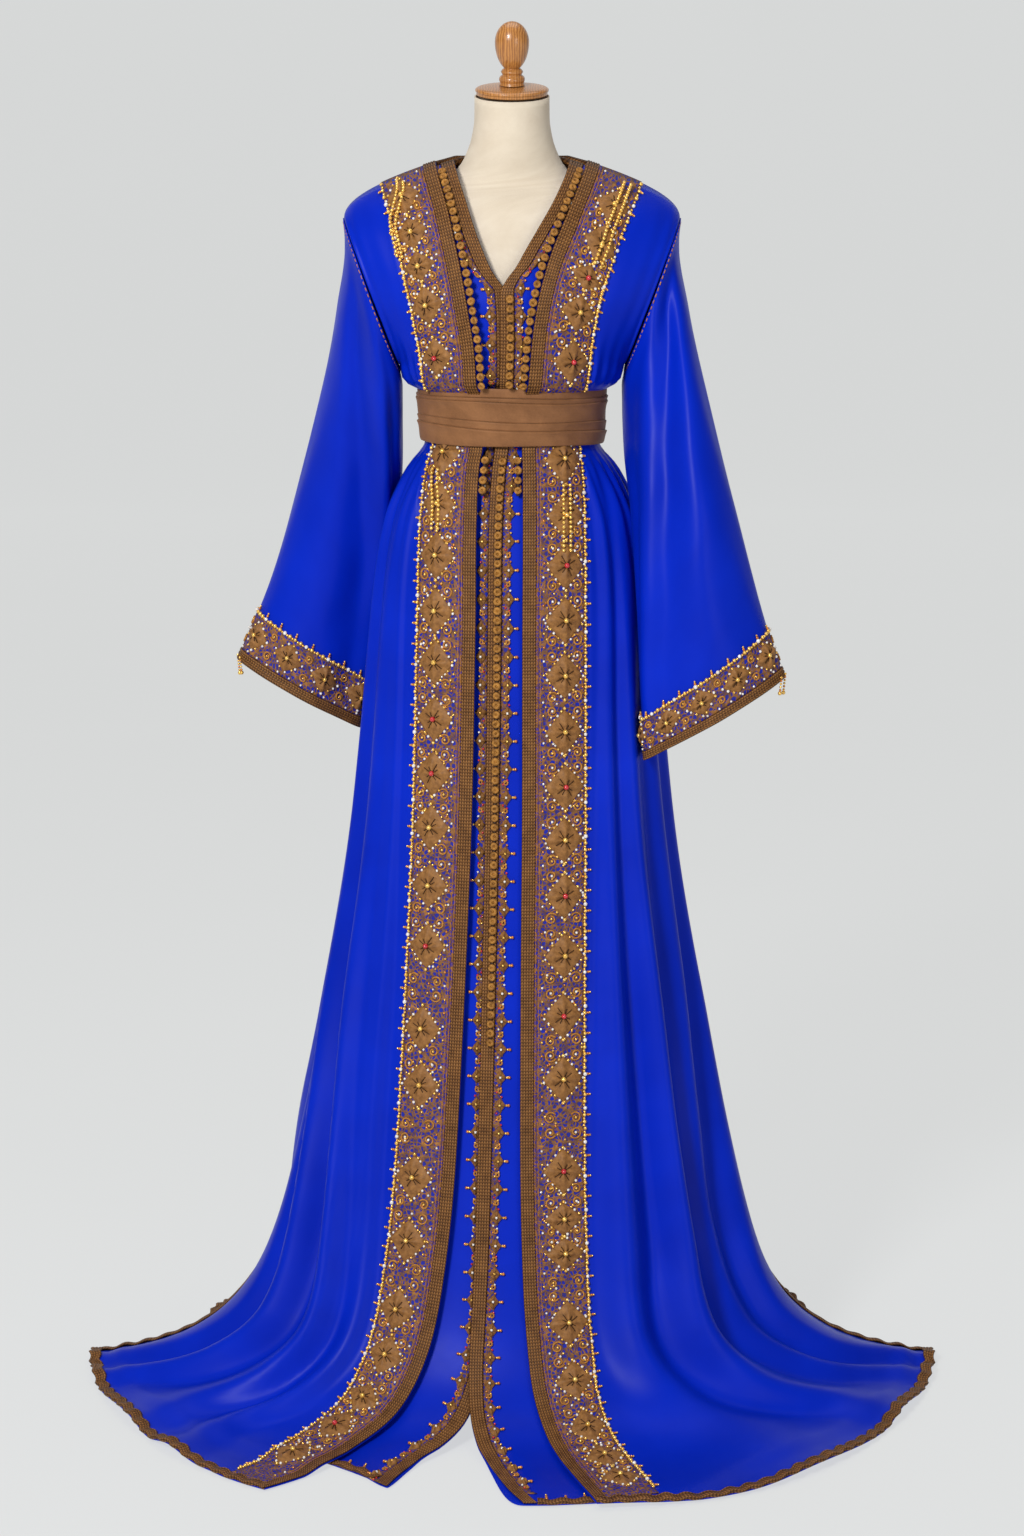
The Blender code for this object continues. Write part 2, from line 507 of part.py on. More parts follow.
def sleeve_tube(table, shares, sides):
    """Rings of a sleeve; the first stands clear of the armhole."""
    at = columns(table)
    sign = -1.0 if at["outer_x"][0] < 0 else 1.0
    share = np.array(shares)[:, None]
    around = np.radians(np.arange(sides) * 360.0 / sides)[None, :]
    read = {name: smooth(share, at["share"], at[name]) for name in at}
    mid_x, mid_z = (read["outer_x"] + read["inner_x"]) / 2, (read["outer_z"] + read["inner_z"]) / 2
    x = mid_x + (read["outer_x"] - mid_x) * np.cos(around)
    z = mid_z + (read["outer_z"] - mid_z) * np.cos(around)
    y = read["mid_y"] - read["depth"] * np.sin(around)
    radial_x, radial_z = sign * 0.936, 0.353
    folds = columns(SLEEVE_FOLDS)
    lift = np.zeros_like(x)
    for k in range(len(folds["top"])):
        path = folds["top"][k] + (folds["cuff"][k] - folds["top"][k]) * share
        apart = (np.degrees(around) - path + 180) % 360 - 180
        grow = ease(share / 0.35) * (1 - 0.45 * ease((share - 0.8) / 0.2))
        lift = lift + folds["height"][k] * grow * np.exp(-((apart / folds["width"][k]) ** 2) * 1.2)
    y = y - lift * np.sin(around)
    clear = (0.0016 + 0.0018 * (1 - np.cos(around)) / 2) * (1 - ease(share / 0.05))
    return np.stack([x + radial_x * clear, y, z - radial_z * clear], -1)


def sleeve_shares():
    """Rings of the sleeve, with two more at the edges of the cuff's lace and braid."""
    return SLEEVE_SHARES + cuff_shares()


def cuff_shares():
    """Shares of the cuff's rings: lace top, braid top, cuff edge."""
    braid = CUFF_BRAID_WIDTH / SLEEVE_LENGTH
    lace = CUFF_LACE_WIDTH / SLEEVE_LENGTH
    return (1 - braid - lace, 1 - braid, 1.0)


# --- meshes ----------------------------------------------------------------------------------------
def remove_all():
    for obj in list(bpy.data.objects):
        bpy.data.objects.remove(obj, do_unlink=True)


def material(name):
    found = bpy.data.materials.get(name)
    if found:
        return found
    colour, roughness, metallic = FINISHES[name]
    made = bpy.data.materials.new(name)
    made.use_nodes = True
    shader = made.node_tree.nodes["Principled BSDF"]
    shader.inputs["Base Color"].default_value = (*colour, 1.0)
    shader.inputs["Roughness"].default_value = roughness
    shader.inputs["Metallic"].default_value = metallic
    return made


def new_object(name, points, faces, finish, home):
    mesh = bpy.data.meshes.new(name)
    mesh.from_pydata([tuple(point) for point in points], [], faces)
    mesh.materials.append(material(finish))
    mesh.shade_smooth()
    obj = bpy.data.objects.new(name, mesh)
    home.objects.link(obj)
    return obj


def grid_faces(rows, cols, closed=False):
    """Quads of a grid of points, row by row; a closed one joins its last column to its first."""
    faces = []
    for i in range(rows - 1):
        for j in range(cols if closed else cols - 1):
            k = (j + 1) % cols
            faces.append((i * cols + j, i * cols + k, (i + 1) * cols + k, (i + 1) * cols + j))
    return faces


def sheet(name, grid, wall, finish, home, closed=False):
    """An open sheet through the grid's points, thickened evenly to both sides."""
    rows, cols = grid.shape[:2]
    faces = grid_faces(rows, cols, closed)
    obj = new_object(name, grid.reshape(-1, 3), faces, finish, home)
    solid = obj.modifiers.new("wall", "SOLIDIFY")
    solid.thickness = wall
    solid.offset = 0.0
    return obj


def unit(vectors):
    return vectors / np.maximum(np.linalg.norm(vectors, axis=-1, keepdims=True), 1e-9)


def grid_normals(grid, inside, closed=False):
    """Mean of the facets' normals round each grid point, pointing away from the point inside."""
    wide = np.concatenate([grid, grid[:, :1]], axis=1) if closed else grid
    facet = unit(np.cross(wide[1:, 1:] - wide[:-1, :-1], wide[1:, :-1] - wide[:-1, 1:]))
    rows, cols = grid.shape[:2]
    total = np.zeros_like(grid)
    for j in range(facet.shape[1]):
        for col in (j, (j + 1) % cols):
            total[:-1, col] += facet[:, j]
            total[1:, col] += facet[:, j]
    normal = unit(total)
    facing = (normal * (grid - inside)).sum(-1).mean()
    return normal if facing > 0 else -normal


def moved_out(grid, normals, wall_below, wall, gap=GAP):
    """Mid sheet of a trim that lies on a sheet, clear of it by the gap."""
    return grid + normals * (wall_below / 2 + gap + wall / 2)


def between(grid, normals, cols, low, high):
    """A narrower pair of columns: the edges of grid columns cols pulled in by low and high metres."""
    left, right = grid[:, cols[0]], grid[:, cols[1]]
    span = np.linalg.norm(right - left, axis=-1, keepdims=True)
    first, last = left + (right - left) * low / span, right - (right - left) * high / span
    return np.stack([first, last], 1), np.stack([normals[:, cols[0]], normals[:, cols[1]]], 1)


def strip_along(grid, normals, cols, rows, wall):
    """Mid sheet of a trim over the given columns and rows of a panel, its sides pulled in."""
    sides, side_normals = between(grid[rows], normals[rows], (cols[0], cols[-1]), GAP, GAP)
    middle, middle_normals = grid[rows][:, cols[1:-1]], normals[rows][:, cols[1:-1]]
    points = np.concatenate([sides[:, :1], middle, sides[:, 1:]], 1)
    out = np.concatenate([side_normals[:, :1], middle_normals, side_normals[:, 1:]], 1)
    return moved_out(points, out, CLOTH, wall)


def hem_path(grid, normals, start_row, first_col, both_sides):
    """Inner and outer points of the trim that runs down a slit, round the corner and on the hem."""
    last = grid.shape[1] - 1
    steps = [((row, last - 1), (row, last)) for row in range(start_row, grid.shape[0] - 2)]
    steps.append(((-2, last - 1), (-1, last)))
    steps += [((-2, col), (-1, col)) for col in range(last - 2, first_col, -1)]
    if both_sides:
        steps.append(((-2, 1), (-1, 0)))
        steps += [((row, 1), (row, 0)) for row in range(grid.shape[0] - 3, start_row - 1, -1)]
    inner = np.array([grid[a] for a, b in steps])
    outer = np.array([grid[b] for a, b in steps])
    inner_n = np.array([normals[a] for a, b in steps])
    outer_n = np.array([normals[b] for a, b in steps])
    return np.stack([inner, outer], 1), np.stack([inner_n, outer_n], 1)


# --- turned and lofted pieces ----------------------------------------------------------------------
def turned(name, profile, finish, home, steps=32):
    mesh = bpy.data.meshes.new(name)
    edges = [(k, k + 1) for k in range(len(profile) - 1)]
    mesh.from_pydata([(radius, 0.0, height) for radius, height in profile], edges, [])
    mesh.materials.append(material(finish))
    obj = bpy.data.objects.new(name, mesh)
    home.objects.link(obj)
    screw = obj.modifiers.new("turn", "SCREW")
    screw.steps = steps
    screw.render_steps = steps
    screw.use_merge_vertices = True
    screw.merge_threshold = 0.0001
    screw.use_smooth_shade = True
    return obj


def egg_profile():
    """The finial from its tip down: an egg, widest above its middle, on its turned collar."""
    steps = 9
    points = []
    for k in range(steps):
        angle = math.pi * 0.86 * k / (steps - 1)
        centre = EGG_FOOT + (EGG_TOP - EGG_FOOT) * 0.56
        reach = EGG_TOP - centre if angle < math.pi / 2 else (centre - EGG_FOOT) / 0.905
        points.append((EGG_RADIUS * math.sin(angle), centre + reach * math.cos(angle)))
    return tuple(points) + COLLAR_PROFILE


def loft(name, rings, finish, home):
    """A closed solid through like rings, with a flat fan at each end."""
    count, sides = len(rings), len(rings[0])
    points = [point for ring in rings for point in ring]
    faces = grid_faces(count, sides, closed=True)
    for ring, first in ((0, 0), (count - 1, (count - 1) * sides)):
        centre = np.mean(rings[ring], axis=0)
        points.append(centre)
        for j in range(sides):
            pair = (first + j, first + (j + 1) % sides)
            faces.append((len(points) - 1, *(pair if ring else pair[::-1])))
    obj = new_object(name, points, faces, finish, home)
    mesh = bmesh.new()
    mesh.from_mesh(obj.data)
    bmesh.ops.recalc_face_normals(mesh, faces=mesh.faces)
    mesh.to_mesh(obj.data)
    mesh.free()
    return obj


def build_form(home):
    at = columns(FORM)
    angles = np.radians(np.arange(24) * 15.0)
    rings = []
    for k in range(len(at["z"])):
        depth = np.where(np.sin(angles) > 0, at["back"][k], at["front"][k])
        y = depth * np.sin(angles)
        z = at["z"][k] + at["lean"][k] * y
        rings.append(np.stack([at["side"][k] * np.cos(angles), y + at["middle"][k], z], -1))
    loft("form_torso", rings, "linen", home)
    cap = turned("form_neck_cap", CAP_PROFILE, "turned_wood", home, 32)
    finial = turned("form_finial", egg_profile(), "turned_wood", home, 20)
    for obj in (cap, finial):
        obj.location = CAP_CENTRE
        obj.rotation_euler = (CAP_LEAN, 0.0, 0.0)
    turned("form_base", BASE_PROFILE, "steel", home, 36)
    foot, head = BASE_HEIGHT + GAP, FORM[1][0][0] - GAP
    turned("form_pole", ((0.0, head), (POLE_RADIUS, head), (POLE_RADIUS, foot), (0.0, foot)),
           "steel", home, 20)


# --- garment pieces --------------------------------------------------------------------------------
def knot_cord(name, path, lifts, home):
    """A row of knots as one beaded cord: wide and narrow square rings along the path."""
    lengths = np.concatenate([[0.0], np.cumsum(np.linalg.norm(np.diff(path, axis=0), axis=1))])
    count = int(lengths[-1] / KNOT_PITCH)
    rings = []
    for k in range(2 * count + 1):
        at = lengths[-1] * k / (2 * count)
        centre = np.array([np.interp(at, lengths, path[:, axis]) for axis in range(3)])
        lift = np.array([np.interp(at, lengths, lifts[:, axis]) for axis in range(3)])
        ahead = np.array([np.interp(at + 0.002, lengths, path[:, axis]) for axis in range(3)])
        behind = np.array([np.interp(at - 0.002, lengths, path[:, axis]) for axis in range(3)])
        along = (ahead - behind) / np.linalg.norm(ahead - behind)
        lift = lift - along * lift.dot(along)
        lift = lift / np.linalg.norm(lift)
        across = np.cross(along, lift)
        radius = KNOT_RADIUS if k % 2 else KNOT_RADIUS * 0.55
        rings.append(np.array([centre + across * radius, centre + lift * radius,
                               centre - across * radius, centre - lift * radius]))
    loft(name, rings, "knotted_cord", home)


def cut_rows(line, falls, low, high):
    """The part of a grid column between two falls, its ends placed exactly."""
    inner = [k for k, fall in enumerate(falls) if low < fall < high]
    ends = [np.array([np.interp(fall, falls, line[:, axis]) for axis in range(3)])
            for fall in (low, high)]
    return np.array([ends[0]] + [line[k] for k in inner] + [ends[1]])


def build_robe(home):
    last_lace_row = len(ROWS)
    for side in ("left", "right"):
        grid = robe_front(side)
        normals = grid_normals(grid, np.array([0.0, 0.0, 0.6]))
        sheet("robe_front_" + side, grid, CLOTH, "blue_satin", home)
        every = list(range(grid.shape[0]))
        sheet("robe_braid_" + side, strip_along(grid, normals, [0, 1], every, BRAID), BRAID,
              "bronze_braid", home)
        lace_rows = every[:last_lace_row]
        sheet("embroidery_" + side, strip_along(grid, normals, [1, 2, 3], lace_rows, LACE), LACE,
              "bronze_lace", home)
        edge, edge_n = hem_path(grid, normals, ROWS.index(SLIT_TOP), 0, False)
        clear = edge[-1] - edge[-2]
        edge[-1] = edge[-2] + clear * (1 - 3 * GAP / np.linalg.norm(clear[1]))
        sheet("hem_trim_" + side, moved_out(edge, edge_n, CLOTH, BRAID, HEM_GAP), BRAID,
              "bronze_braid", home)
        build_side_knots(side, grid, normals, home)
    grid = robe_back()
    normals = grid_normals(grid, np.array([0.0, 0.0, 0.6]))
    sheet("robe_back", grid, CLOTH, "blue_satin", home)
    edge, edge_n = hem_path(grid, normals, ROWS.index(SLIT_TOP), 1, True)
    sheet("hem_trim_back", moved_out(edge, edge_n, CLOTH, BRAID, HEM_GAP), BRAID,
          "bronze_braid", home)
    build_back_neck_braid("robe_braid_back", grid, BACK_TURNS, 2, home)


def build_side_knots(side, grid, normals, home):
    """Knots along the robe's front edge, in its opening: one run above the belt, one below."""
    falls = np.array(robe_rows(1.78))
    inward = grid[:, 0] - grid[:, 1]
    inward = inward / np.linalg.norm(inward, axis=-1, keepdims=True)
    raised = 0.0016 + 0.0040 * (1 - ease(falls / 0.10)) + 0.0016 * ease((falls - 0.22) / 0.04)
    line = grid[:, 0] + inward * (KNOT_RADIUS + 0.0016) + normals[:, 0] * raised[:, None]
    for place, low, high in (("chest", 0.012, 0.277), ("waist", 0.368, 0.415)):
        path = cut_rows(line, falls, low, high)
        lifts = cut_rows(normals[:, 0], falls, low, high)
        knot_cord("knots_%s_%s" % (place, side), path, lifts, home)


def build_back_neck_braid(name, grid, turns, first_col, home):
    """A braid round the back of the neck, on the top row of a back's facets."""
    normals = grid_normals(grid, np.array([0.0, 0.0, 0.6]))
    cols = [k + first_col for k, turn in enumerate(turns) if abs(turn) < NECK_BRAID_TURN]
    band, out = grid[:2, cols], normals[:2, cols]
    sheet(name, moved_out(band, out, CLOTH, BRAID), BRAID, "bronze_braid", home)


def build_under_dress(home):
    for side in ("left", "right"):
        grid = under_front(side)
        normals = grid_normals(grid, np.array([0.0, 0.0, 0.6]))
        sheet("under_front_" + side, grid, CLOTH, "blue_satin", home)
        every = list(range(grid.shape[0]))
        sheet("under_braid_" + side, strip_along(grid, normals, [0, 1], every, BRAID), BRAID,
              "bronze_braid", home)
        sheet("under_lace_" + side, strip_along(grid, normals, [1, 2], every[:-2], LACE), LACE,
              "bronze_lace", home)
        hem, hem_n = grid[-2:, 1:].copy(), normals[-2:, 1:]
        hem[:, 0] += unit(hem[:, 1] - hem[:, 0]) * GAP
        sheet("under_hem_trim_" + side, moved_out(hem, hem_n, CLOTH, BRAID), BRAID,
              "bronze_braid", home)
        if side == "right":
            build_centre_knots(grid, normals, home)
    back = under_back()
    sheet("under_back", back, CLOTH, "blue_satin", home)
    build_back_neck_braid("under_braid_back", back, UNDER_BACK_TURNS, 0, home)


def build_centre_knots(grid, normals, home):
    """The knotted closure on the under-dress's right edge, above the belt and below it."""
    falls = np.array(under_rows() + (1.68, 1.72, 1.75, 1.765))
    out = normals[:, 0]
    line = (grid[:, 0] + grid[:, 1]) / 2 + out * (CLOTH / 2 + GAP + BRAID + GAP + KNOT_RADIUS)
    for place, low, high in (("chest", 0.165, 0.277), ("skirt", 0.368, 1.10)):
        path = cut_rows(line, falls, low, high)
        knot_cord("knots_%s_centre" % place, path, cut_rows(out, falls, low, high), home)


def build_sleeves(home):
    for side, table in (("left", SLEEVE_LEFT), ("right", SLEEVE_RIGHT)):
        tube = sleeve_tube(table, sleeve_shares(), SLEEVE_SIDES)
        inside = tube.mean(axis=(0, 1))
        normals = grid_normals(tube, inside, closed=True)
        sheet("sleeve_" + side, tube, CLOTH, "blue_satin", home, closed=True)
        for name, rows, wall, finish in (("cuff_lace_", (-3, -2), LACE, "bronze_lace"),
                                         ("cuff_braid_", (-2, -1), BRAID, "bronze_braid")):
            ring, ring_n = tube[list(rows)], normals[list(rows)]
            ring = np.array(ring)
            first, last = ring[1] - ring[0], ring[-2] - ring[-1]
            ring[0] += first * GAP / np.linalg.norm(first, axis=-1, keepdims=True)
            ring[-1] += last * GAP / np.linalg.norm(last, axis=-1, keepdims=True)
            sheet(name + side, moved_out(ring, ring_n, CLOTH, wall), wall, finish, home,
                  closed=True)


def build_belt(home):
    """The sash: a ring that follows the waist, its pleats as small steps in and out."""
    pleats = ((BELT_TOP, 0.0004), (1.2760, 0.0012), (1.2600, 0.0000), (1.2420, 0.0012),
              (BELT_FOOT, 0.0002))
    angles = np.radians(np.arange(BELT_SIDES) * 360.0 / BELT_SIDES)
    skirt = columns(SKIRT)
    reach = CLOTH / 2 + GAP + BRAID + GAP + SASH / 2 + 0.0024
    rings = []
    for z, out in pleats:
        fall = np.interp(-z, -skirt["z"], skirt["fall"])
        side = smooth(fall, skirt["fall"], skirt["side"]) + reach + out
        front = smooth(fall, skirt["fall"], skirt["front"]) + reach + out
        back = smooth(fall, skirt["fall"], skirt["back"]) + reach + out
        y = np.where(np.sin(angles) > 0, back, front) * np.sin(angles)
        rings.append(np.stack([side * np.cos(angles), y, np.full_like(y, z)], -1))
    sheet("belt", np.array(rings), SASH, "brown_sash", home, closed=True)


def main():
    remove_all()
    home = bpy.data.collections.new("moroccan_kaftan")
    bpy.context.scene.collection.children.link(home)
    build_form(home)
    build_under_dress(home)
    build_robe(home)
    build_sleeves(home)
    build_belt(home)


main()
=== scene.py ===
"""Looks of the Moroccan kaftan on its dress form: cloth with folds, braid, lace, beads and light.

Metres, +Z up; the garment faces -Y. The sheets repeat the CAD part's own tables, so that each piece
lies on its solid, and the folds of the cloth are added as lines of crests and valleys.
A place on the body is given by its turn (degrees round from the front or the back centre, + to +X)
and its fall (metres down the cloth from the shoulder seam).
"""

import math

import bpy
import numpy as np
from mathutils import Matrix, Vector


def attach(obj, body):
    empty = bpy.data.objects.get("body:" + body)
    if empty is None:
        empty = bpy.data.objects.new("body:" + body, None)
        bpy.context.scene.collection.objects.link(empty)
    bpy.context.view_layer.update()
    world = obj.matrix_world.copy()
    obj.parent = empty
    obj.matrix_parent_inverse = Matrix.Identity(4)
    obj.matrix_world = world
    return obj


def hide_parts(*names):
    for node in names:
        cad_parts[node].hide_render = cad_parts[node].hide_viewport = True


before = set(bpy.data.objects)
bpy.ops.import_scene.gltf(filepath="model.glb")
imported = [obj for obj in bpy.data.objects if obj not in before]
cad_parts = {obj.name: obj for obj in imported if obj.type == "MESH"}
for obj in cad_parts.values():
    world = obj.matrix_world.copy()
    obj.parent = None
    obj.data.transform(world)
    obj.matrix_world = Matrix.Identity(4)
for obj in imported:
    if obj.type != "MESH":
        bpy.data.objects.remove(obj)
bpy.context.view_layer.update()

# --- driving dimensions ---------------------------------------------------------------------------
CLOTH = 0.0020  # wall of the satin
BRAID = 0.0018  # thickness of the flat braids
SASH = 0.0030  # wall of the pleated sash
GAP = 0.0003  # air between neighbouring pieces
SEAM = 0.0004  # each edge stands this far back from its seam line
LAYER_DROP = 0.0060  # the under-dress lies this far inside the robe
LAP_DROP = 0.0122  # its left front laps under the right one
FLOOR_SETTLE = 0.0055  # the robe sinks by this where no under-dress lies below it
BRAID_WIDTH = 0.017
HEM_WIDTH = 0.014
RIPPLE = 0.028  # length of one ripple of the hem braid
SLIT_TOP = 1.07  # fall at which the side slits begin
UNDER_BRAID_WIDTH = 0.018
CUFF_BRAID_WIDTH = 0.014
CUFF_LACE_WIDTH = 0.052
CUFF_TOP = CUFF_BRAID_WIDTH + CUFF_LACE_WIDTH
KNOT_PITCH = 0.0117
SHOULDER_FALL = 0.0001
SHOULDER_APART = 0.0013  # front and back stand this far from the plane of the shoulder seam
SHOULDER_FADE = 0.10
BELT_TOP, BELT_FOOT = 1.2925, 1.2215

# The armhole is a slanted oval ring, from the shoulder tip down to the underarm.
TIP_X, TIP_Z = 0.212, 1.503
UNDERARM_X, UNDERARM_Z = 0.140, 1.312
ARMHOLE_DEPTH = 0.070
NECK_POINT_Z = 1.571
ARMHOLE_FALL = 0.26
NECK_TURN_SPAN = 62.5  # degrees from the neck point round to the armhole
NECK_HALF_WIDTH, UNDER_NECK_HALF_WIDTH, NECK_BACK = 0.098, 0.076, 0.070
NECK_FADE = 0.12
TRAIN_PULL = 0.25  # share by which the back narrows at its hem, where it trails straight behind
TRAIN_FALLS = (1.20, 1.75)  # falls between which it narrows
WALL = 0.0012  # thickness at which the cloth is drawn
TRIM_WALL = 0.0010
LACE_WALL = 0.0007
BRAID_LIFT = 0.0021  # heights of the middle of a braid's and a lace's wall over the plain sheet
LACE_LIFT = 0.0016
RIB_HEIGHT = 0.0010
BELT_FALLS = (0.283, 0.360)  # the sash covers the cloth between these
BAND_SHEET = 0.085  # this much of a front is laid out square to its edge
BAND_FADE = 2.5  # degrees over which the folds grow past the band
UNDER_BACK_HEM = 1.655  # fall of the under-dress's hem behind
ARMHOLE_OUT = (0.936, 0.353)  # out and down, square to the armhole's slant
SLEEVE_LENGTH = 0.53  # armhole to cuff, along the middle of the tube
FLOOR_FALL = 1.69  # from here on the rows bend to follow the hem
BAND_WIDTH = 0.083  # outer edge of the beaded band, from the robe's front edge
CORNER = {"left": 31.0, "right": 10.6}  # turn at which a front's corner meets the hem
SIGN = {"left": -1.0, "right": 1.0}

# --- tables ---------------------------------------------------------------------------------------
# Chest: share of the armhole depth, then the depth of the front and of the back at the centre.
CHEST = ("share front back", [
    (0.00, 0.000, 0.000),
    (0.04, 0.032, 0.030),
    (0.10, 0.056, 0.052),
    (0.18, 0.077, 0.070),
    (0.30, 0.098, 0.086),
    (0.50, 0.118, 0.096),
    (0.70, 0.127, 0.094),
    (0.85, 0.126, 0.089),
    (1.00, 0.121, 0.085),
])
# Below the armhole: height, half width and the two depths of the robe.
SKIRT = ("fall z side front back", [
    (0.272, 1.3000, 0.1370, 0.1190, 0.0870),
    (0.283, 1.2910, 0.1270, 0.1090, 0.0890),
    (0.292, 1.2850, 0.1140, 0.1020, 0.0900),
    (0.315, 1.2620, 0.1120, 0.0990, 0.0900),
    (0.355, 1.2220, 0.1100, 0.0980, 0.0920),
    (0.380, 1.1970, 0.1250, 0.1070, 0.1030),
    (0.415, 1.1610, 0.1430, 0.1190, 0.1180),
    (0.450, 1.1280, 0.1560, 0.1280, 0.1300),
    (0.515, 1.0620, 0.1700, 0.1420, 0.1470),
    (0.600, 0.9750, 0.1800, 0.1530, 0.1600),
    (0.720, 0.8550, 0.1900, 0.1660, 0.1740),
    (0.860, 0.7150, 0.2040, 0.1820, 0.1920),
    (1.000, 0.5750, 0.2215, 0.1990, 0.2100),
    (1.120, 0.4550, 0.2410, 0.2160, 0.2290),
    (1.240, 0.3360, 0.2640, 0.2360, 0.2510),
    (1.340, 0.2370, 0.2880, 0.2560, 0.2740),
    (1.420, 0.1600, 0.3160, 0.2760, 0.3000),
    (1.480, 0.1040, 0.3490, 0.2970, 0.3260),
    (1.530, 0.0630, 0.3880, 0.3230, 0.3520),
    (1.575, 0.0340, 0.4340, 0.3570, 0.3860),
    (1.620, 0.0165, 0.4820, 0.4000, 0.4200),
    (1.670, 0.0092, 0.5150, 0.4510, 0.4450),
    (1.720, 0.0085, 0.5410, 0.5060, 0.4680),
    (1.775, 0.0085, 0.5650, 0.5600, 0.4900),
    (1.830, 0.0085, 0.5860, 0.6120, 0.5120),
])
# Fall of the hem by turn.
HEM = ("turn fall", [
    (0.0, 1.780), (10.0, 1.785), (30.0, 1.802), (42.0, 1.790), (50.0, 1.778),
    (58.0, 1.763), (66.0, 1.754), (76.0, 1.756), (90.0, 1.766),
])
# Front edges: turn of each piece's inner edge by fall.
ROBE_EDGE = ("fall left right", [
    (0.000, -27.0, 26.5), (0.067, -22.7, 19.8), (0.130, -21.2, 14.2), (0.190, -20.4, 11.0),
    (0.256, -18.4, 8.7), (0.357, -18.9, 6.3), (0.450, -16.2, 4.9), (0.578, -14.6, 4.1),
    (0.800, -14.4, 3.6), (0.950, -14.8, 3.0), (1.100, -15.1, 2.5), (1.250, -15.3, 2.2),
    (1.400, -16.3, 2.6), (1.465, -16.9, 3.1), (1.525, -18.1, 3.7), (1.575, -19.6, 4.7),
    (1.620, -21.8, 5.8), (1.670, -24.2, 7.3), (1.720, -26.7, 8.7), (1.830, -32.6, 11.2),
])
UNDER_EDGE = ("fall left right", [
    (0.000, -20.6, 20.7), (0.046, -16.4, 15.0), (0.087, -13.4, 8.8), (0.110, -11.3, 5.1),
    (0.131, -8.9, 1.6), (0.146, -6.0, -2.2), (0.165, -1.6, -5.4), (0.200, -0.9, -5.6),
    (0.270, -0.9, -6.6), (0.300, -1.6, -8.2), (0.360, -3.6, -11.7), (0.450, -4.4, -10.9),
    (0.578, -4.6, -10.0), (1.000, -4.6, -9.8), (1.400, -4.6, -9.2), (1.480, -5.2, -8.8),
    (1.534, -6.5, -7.9), (1.562, -7.6, -7.1), (1.611, -10.6, -5.1), (1.649, -13.3, -3.3),
    (1.726, -15.9, -0.2), (1.765, -16.4, 1.4), (1.800, -16.8, 2.4),
])
# Hem of the under-dress by turn, - to the left.
UNDER_HEM = ("turn fall", [
    (-90.0, 1.655), (-35.0, 1.662), (-25.0, 1.682), (-20.0, 1.700), (-16.0, 1.728),
    (-8.0, 1.745), (1.0, 1.766), (10.0, 1.768), (20.0, 1.752), (32.0, 1.700), (90.0, 1.655),
])
# Outer edge of the sleeveless under-dress: its armhole, then the side seam.
UNDER_SIDE = ("fall turn", [
    (0.000, 54.0), (0.100, 56.0), (0.180, 61.0), (0.240, 74.0), (0.285, 89.0), (0.330, 89.8),
    (1.150, 89.8), (1.250, 89.1),
])
# Fold lines of the skirt, from the side inwards: turn in degrees and height in millimetres at each
# of these falls. A crest close to a valley makes the steep side of a fold.
FLAT = (0,) * 9
FOLD_FALLS = np.array((0.40, 0.70, 1.00, 1.20, 1.35, 1.48, 1.57, 1.65, 1.80))
LEFT_FOLDS = (
    ((-91,) * 9, FLAT),
    ((-85, -85, -84, -80, -75, -72, -77, -83, -87), (2, 3, 4, 6, 8, 9, 8, 6, 3)),
    ((-81, -81, -79.5, -73.5, -68.5, -66, -71.5, -78.5, -84.5), (1, 1, 1, 1, 1, 0, 0, 0, 1)),
    ((-75, -75.5, -74, -66.5, -61, -58.5, -64, -73, -81), (3, 7, 11, 15, 18, 17, 13, 8, 4)),
    ((-69, -68.5, -64.5, -58.5, -54, -51, -58, -68.5, -77), FLAT),
    ((-64, -61, -57, -51.5, -46.5, -43.5, -47, -55, -62), (3, 7, 13, 18, 21, 19, 14, 8, 4)),
    ((-60, -54, -50, -46, -42, -39, -42.5, -49, -55), (2, 4, 7, 9, 8, 4, 1, 0, 0)),
    ((-56, -49.5, -45, -42, -38.5, -35.5, -38, -44, -49), (2, 4, 6, 7, 6, 7, 9, 7, 4)),
    ((-52, -46.5, -41, -38, -34.5, -32, -34.5, -39.5, -42), FLAT),
)
RIGHT_FOLDS = (
    ((40, 33, 27.5, 23, 20, 18, 18, 21, 23), FLAT),
    ((46, 40, 34, 31, 28.5, 26.5, 30, 36, 44), (2, 5, 9, 11, 13, 13, 9, 5, 3)),
    ((51, 44, 40.5, 38.7, 36.8, 32.6, 37, 50, 58), FLAT),
    ((56, 50, 46.5, 44.5, 43.5, 41.5, 45, 56, 66), (3, 8, 15, 19, 21, 20, 14, 8, 4)),
    ((62, 58, 54, 52, 50.5, 48.5, 57, 70, 77), (1, 2, 3, 2, 1, 0, 0, 0, 0)),
    ((68, 66, 64, 59, 56.5, 56, 63, 75, 82.5), (3, 6, 9, 10, 8, 6, 7, 5, 3)),
    ((75, 73, 71, 66, 62, 61.5, 68, 79, 85), (1, 1, 2, 2, 1, 1, 0, 0, 0)),
    ((82, 81, 79, 75, 71, 67, 73, 82.5, 87), (4, 6, 9, 12, 14, 13, 10, 7, 3)),
    ((91,) * 9, FLAT),
)
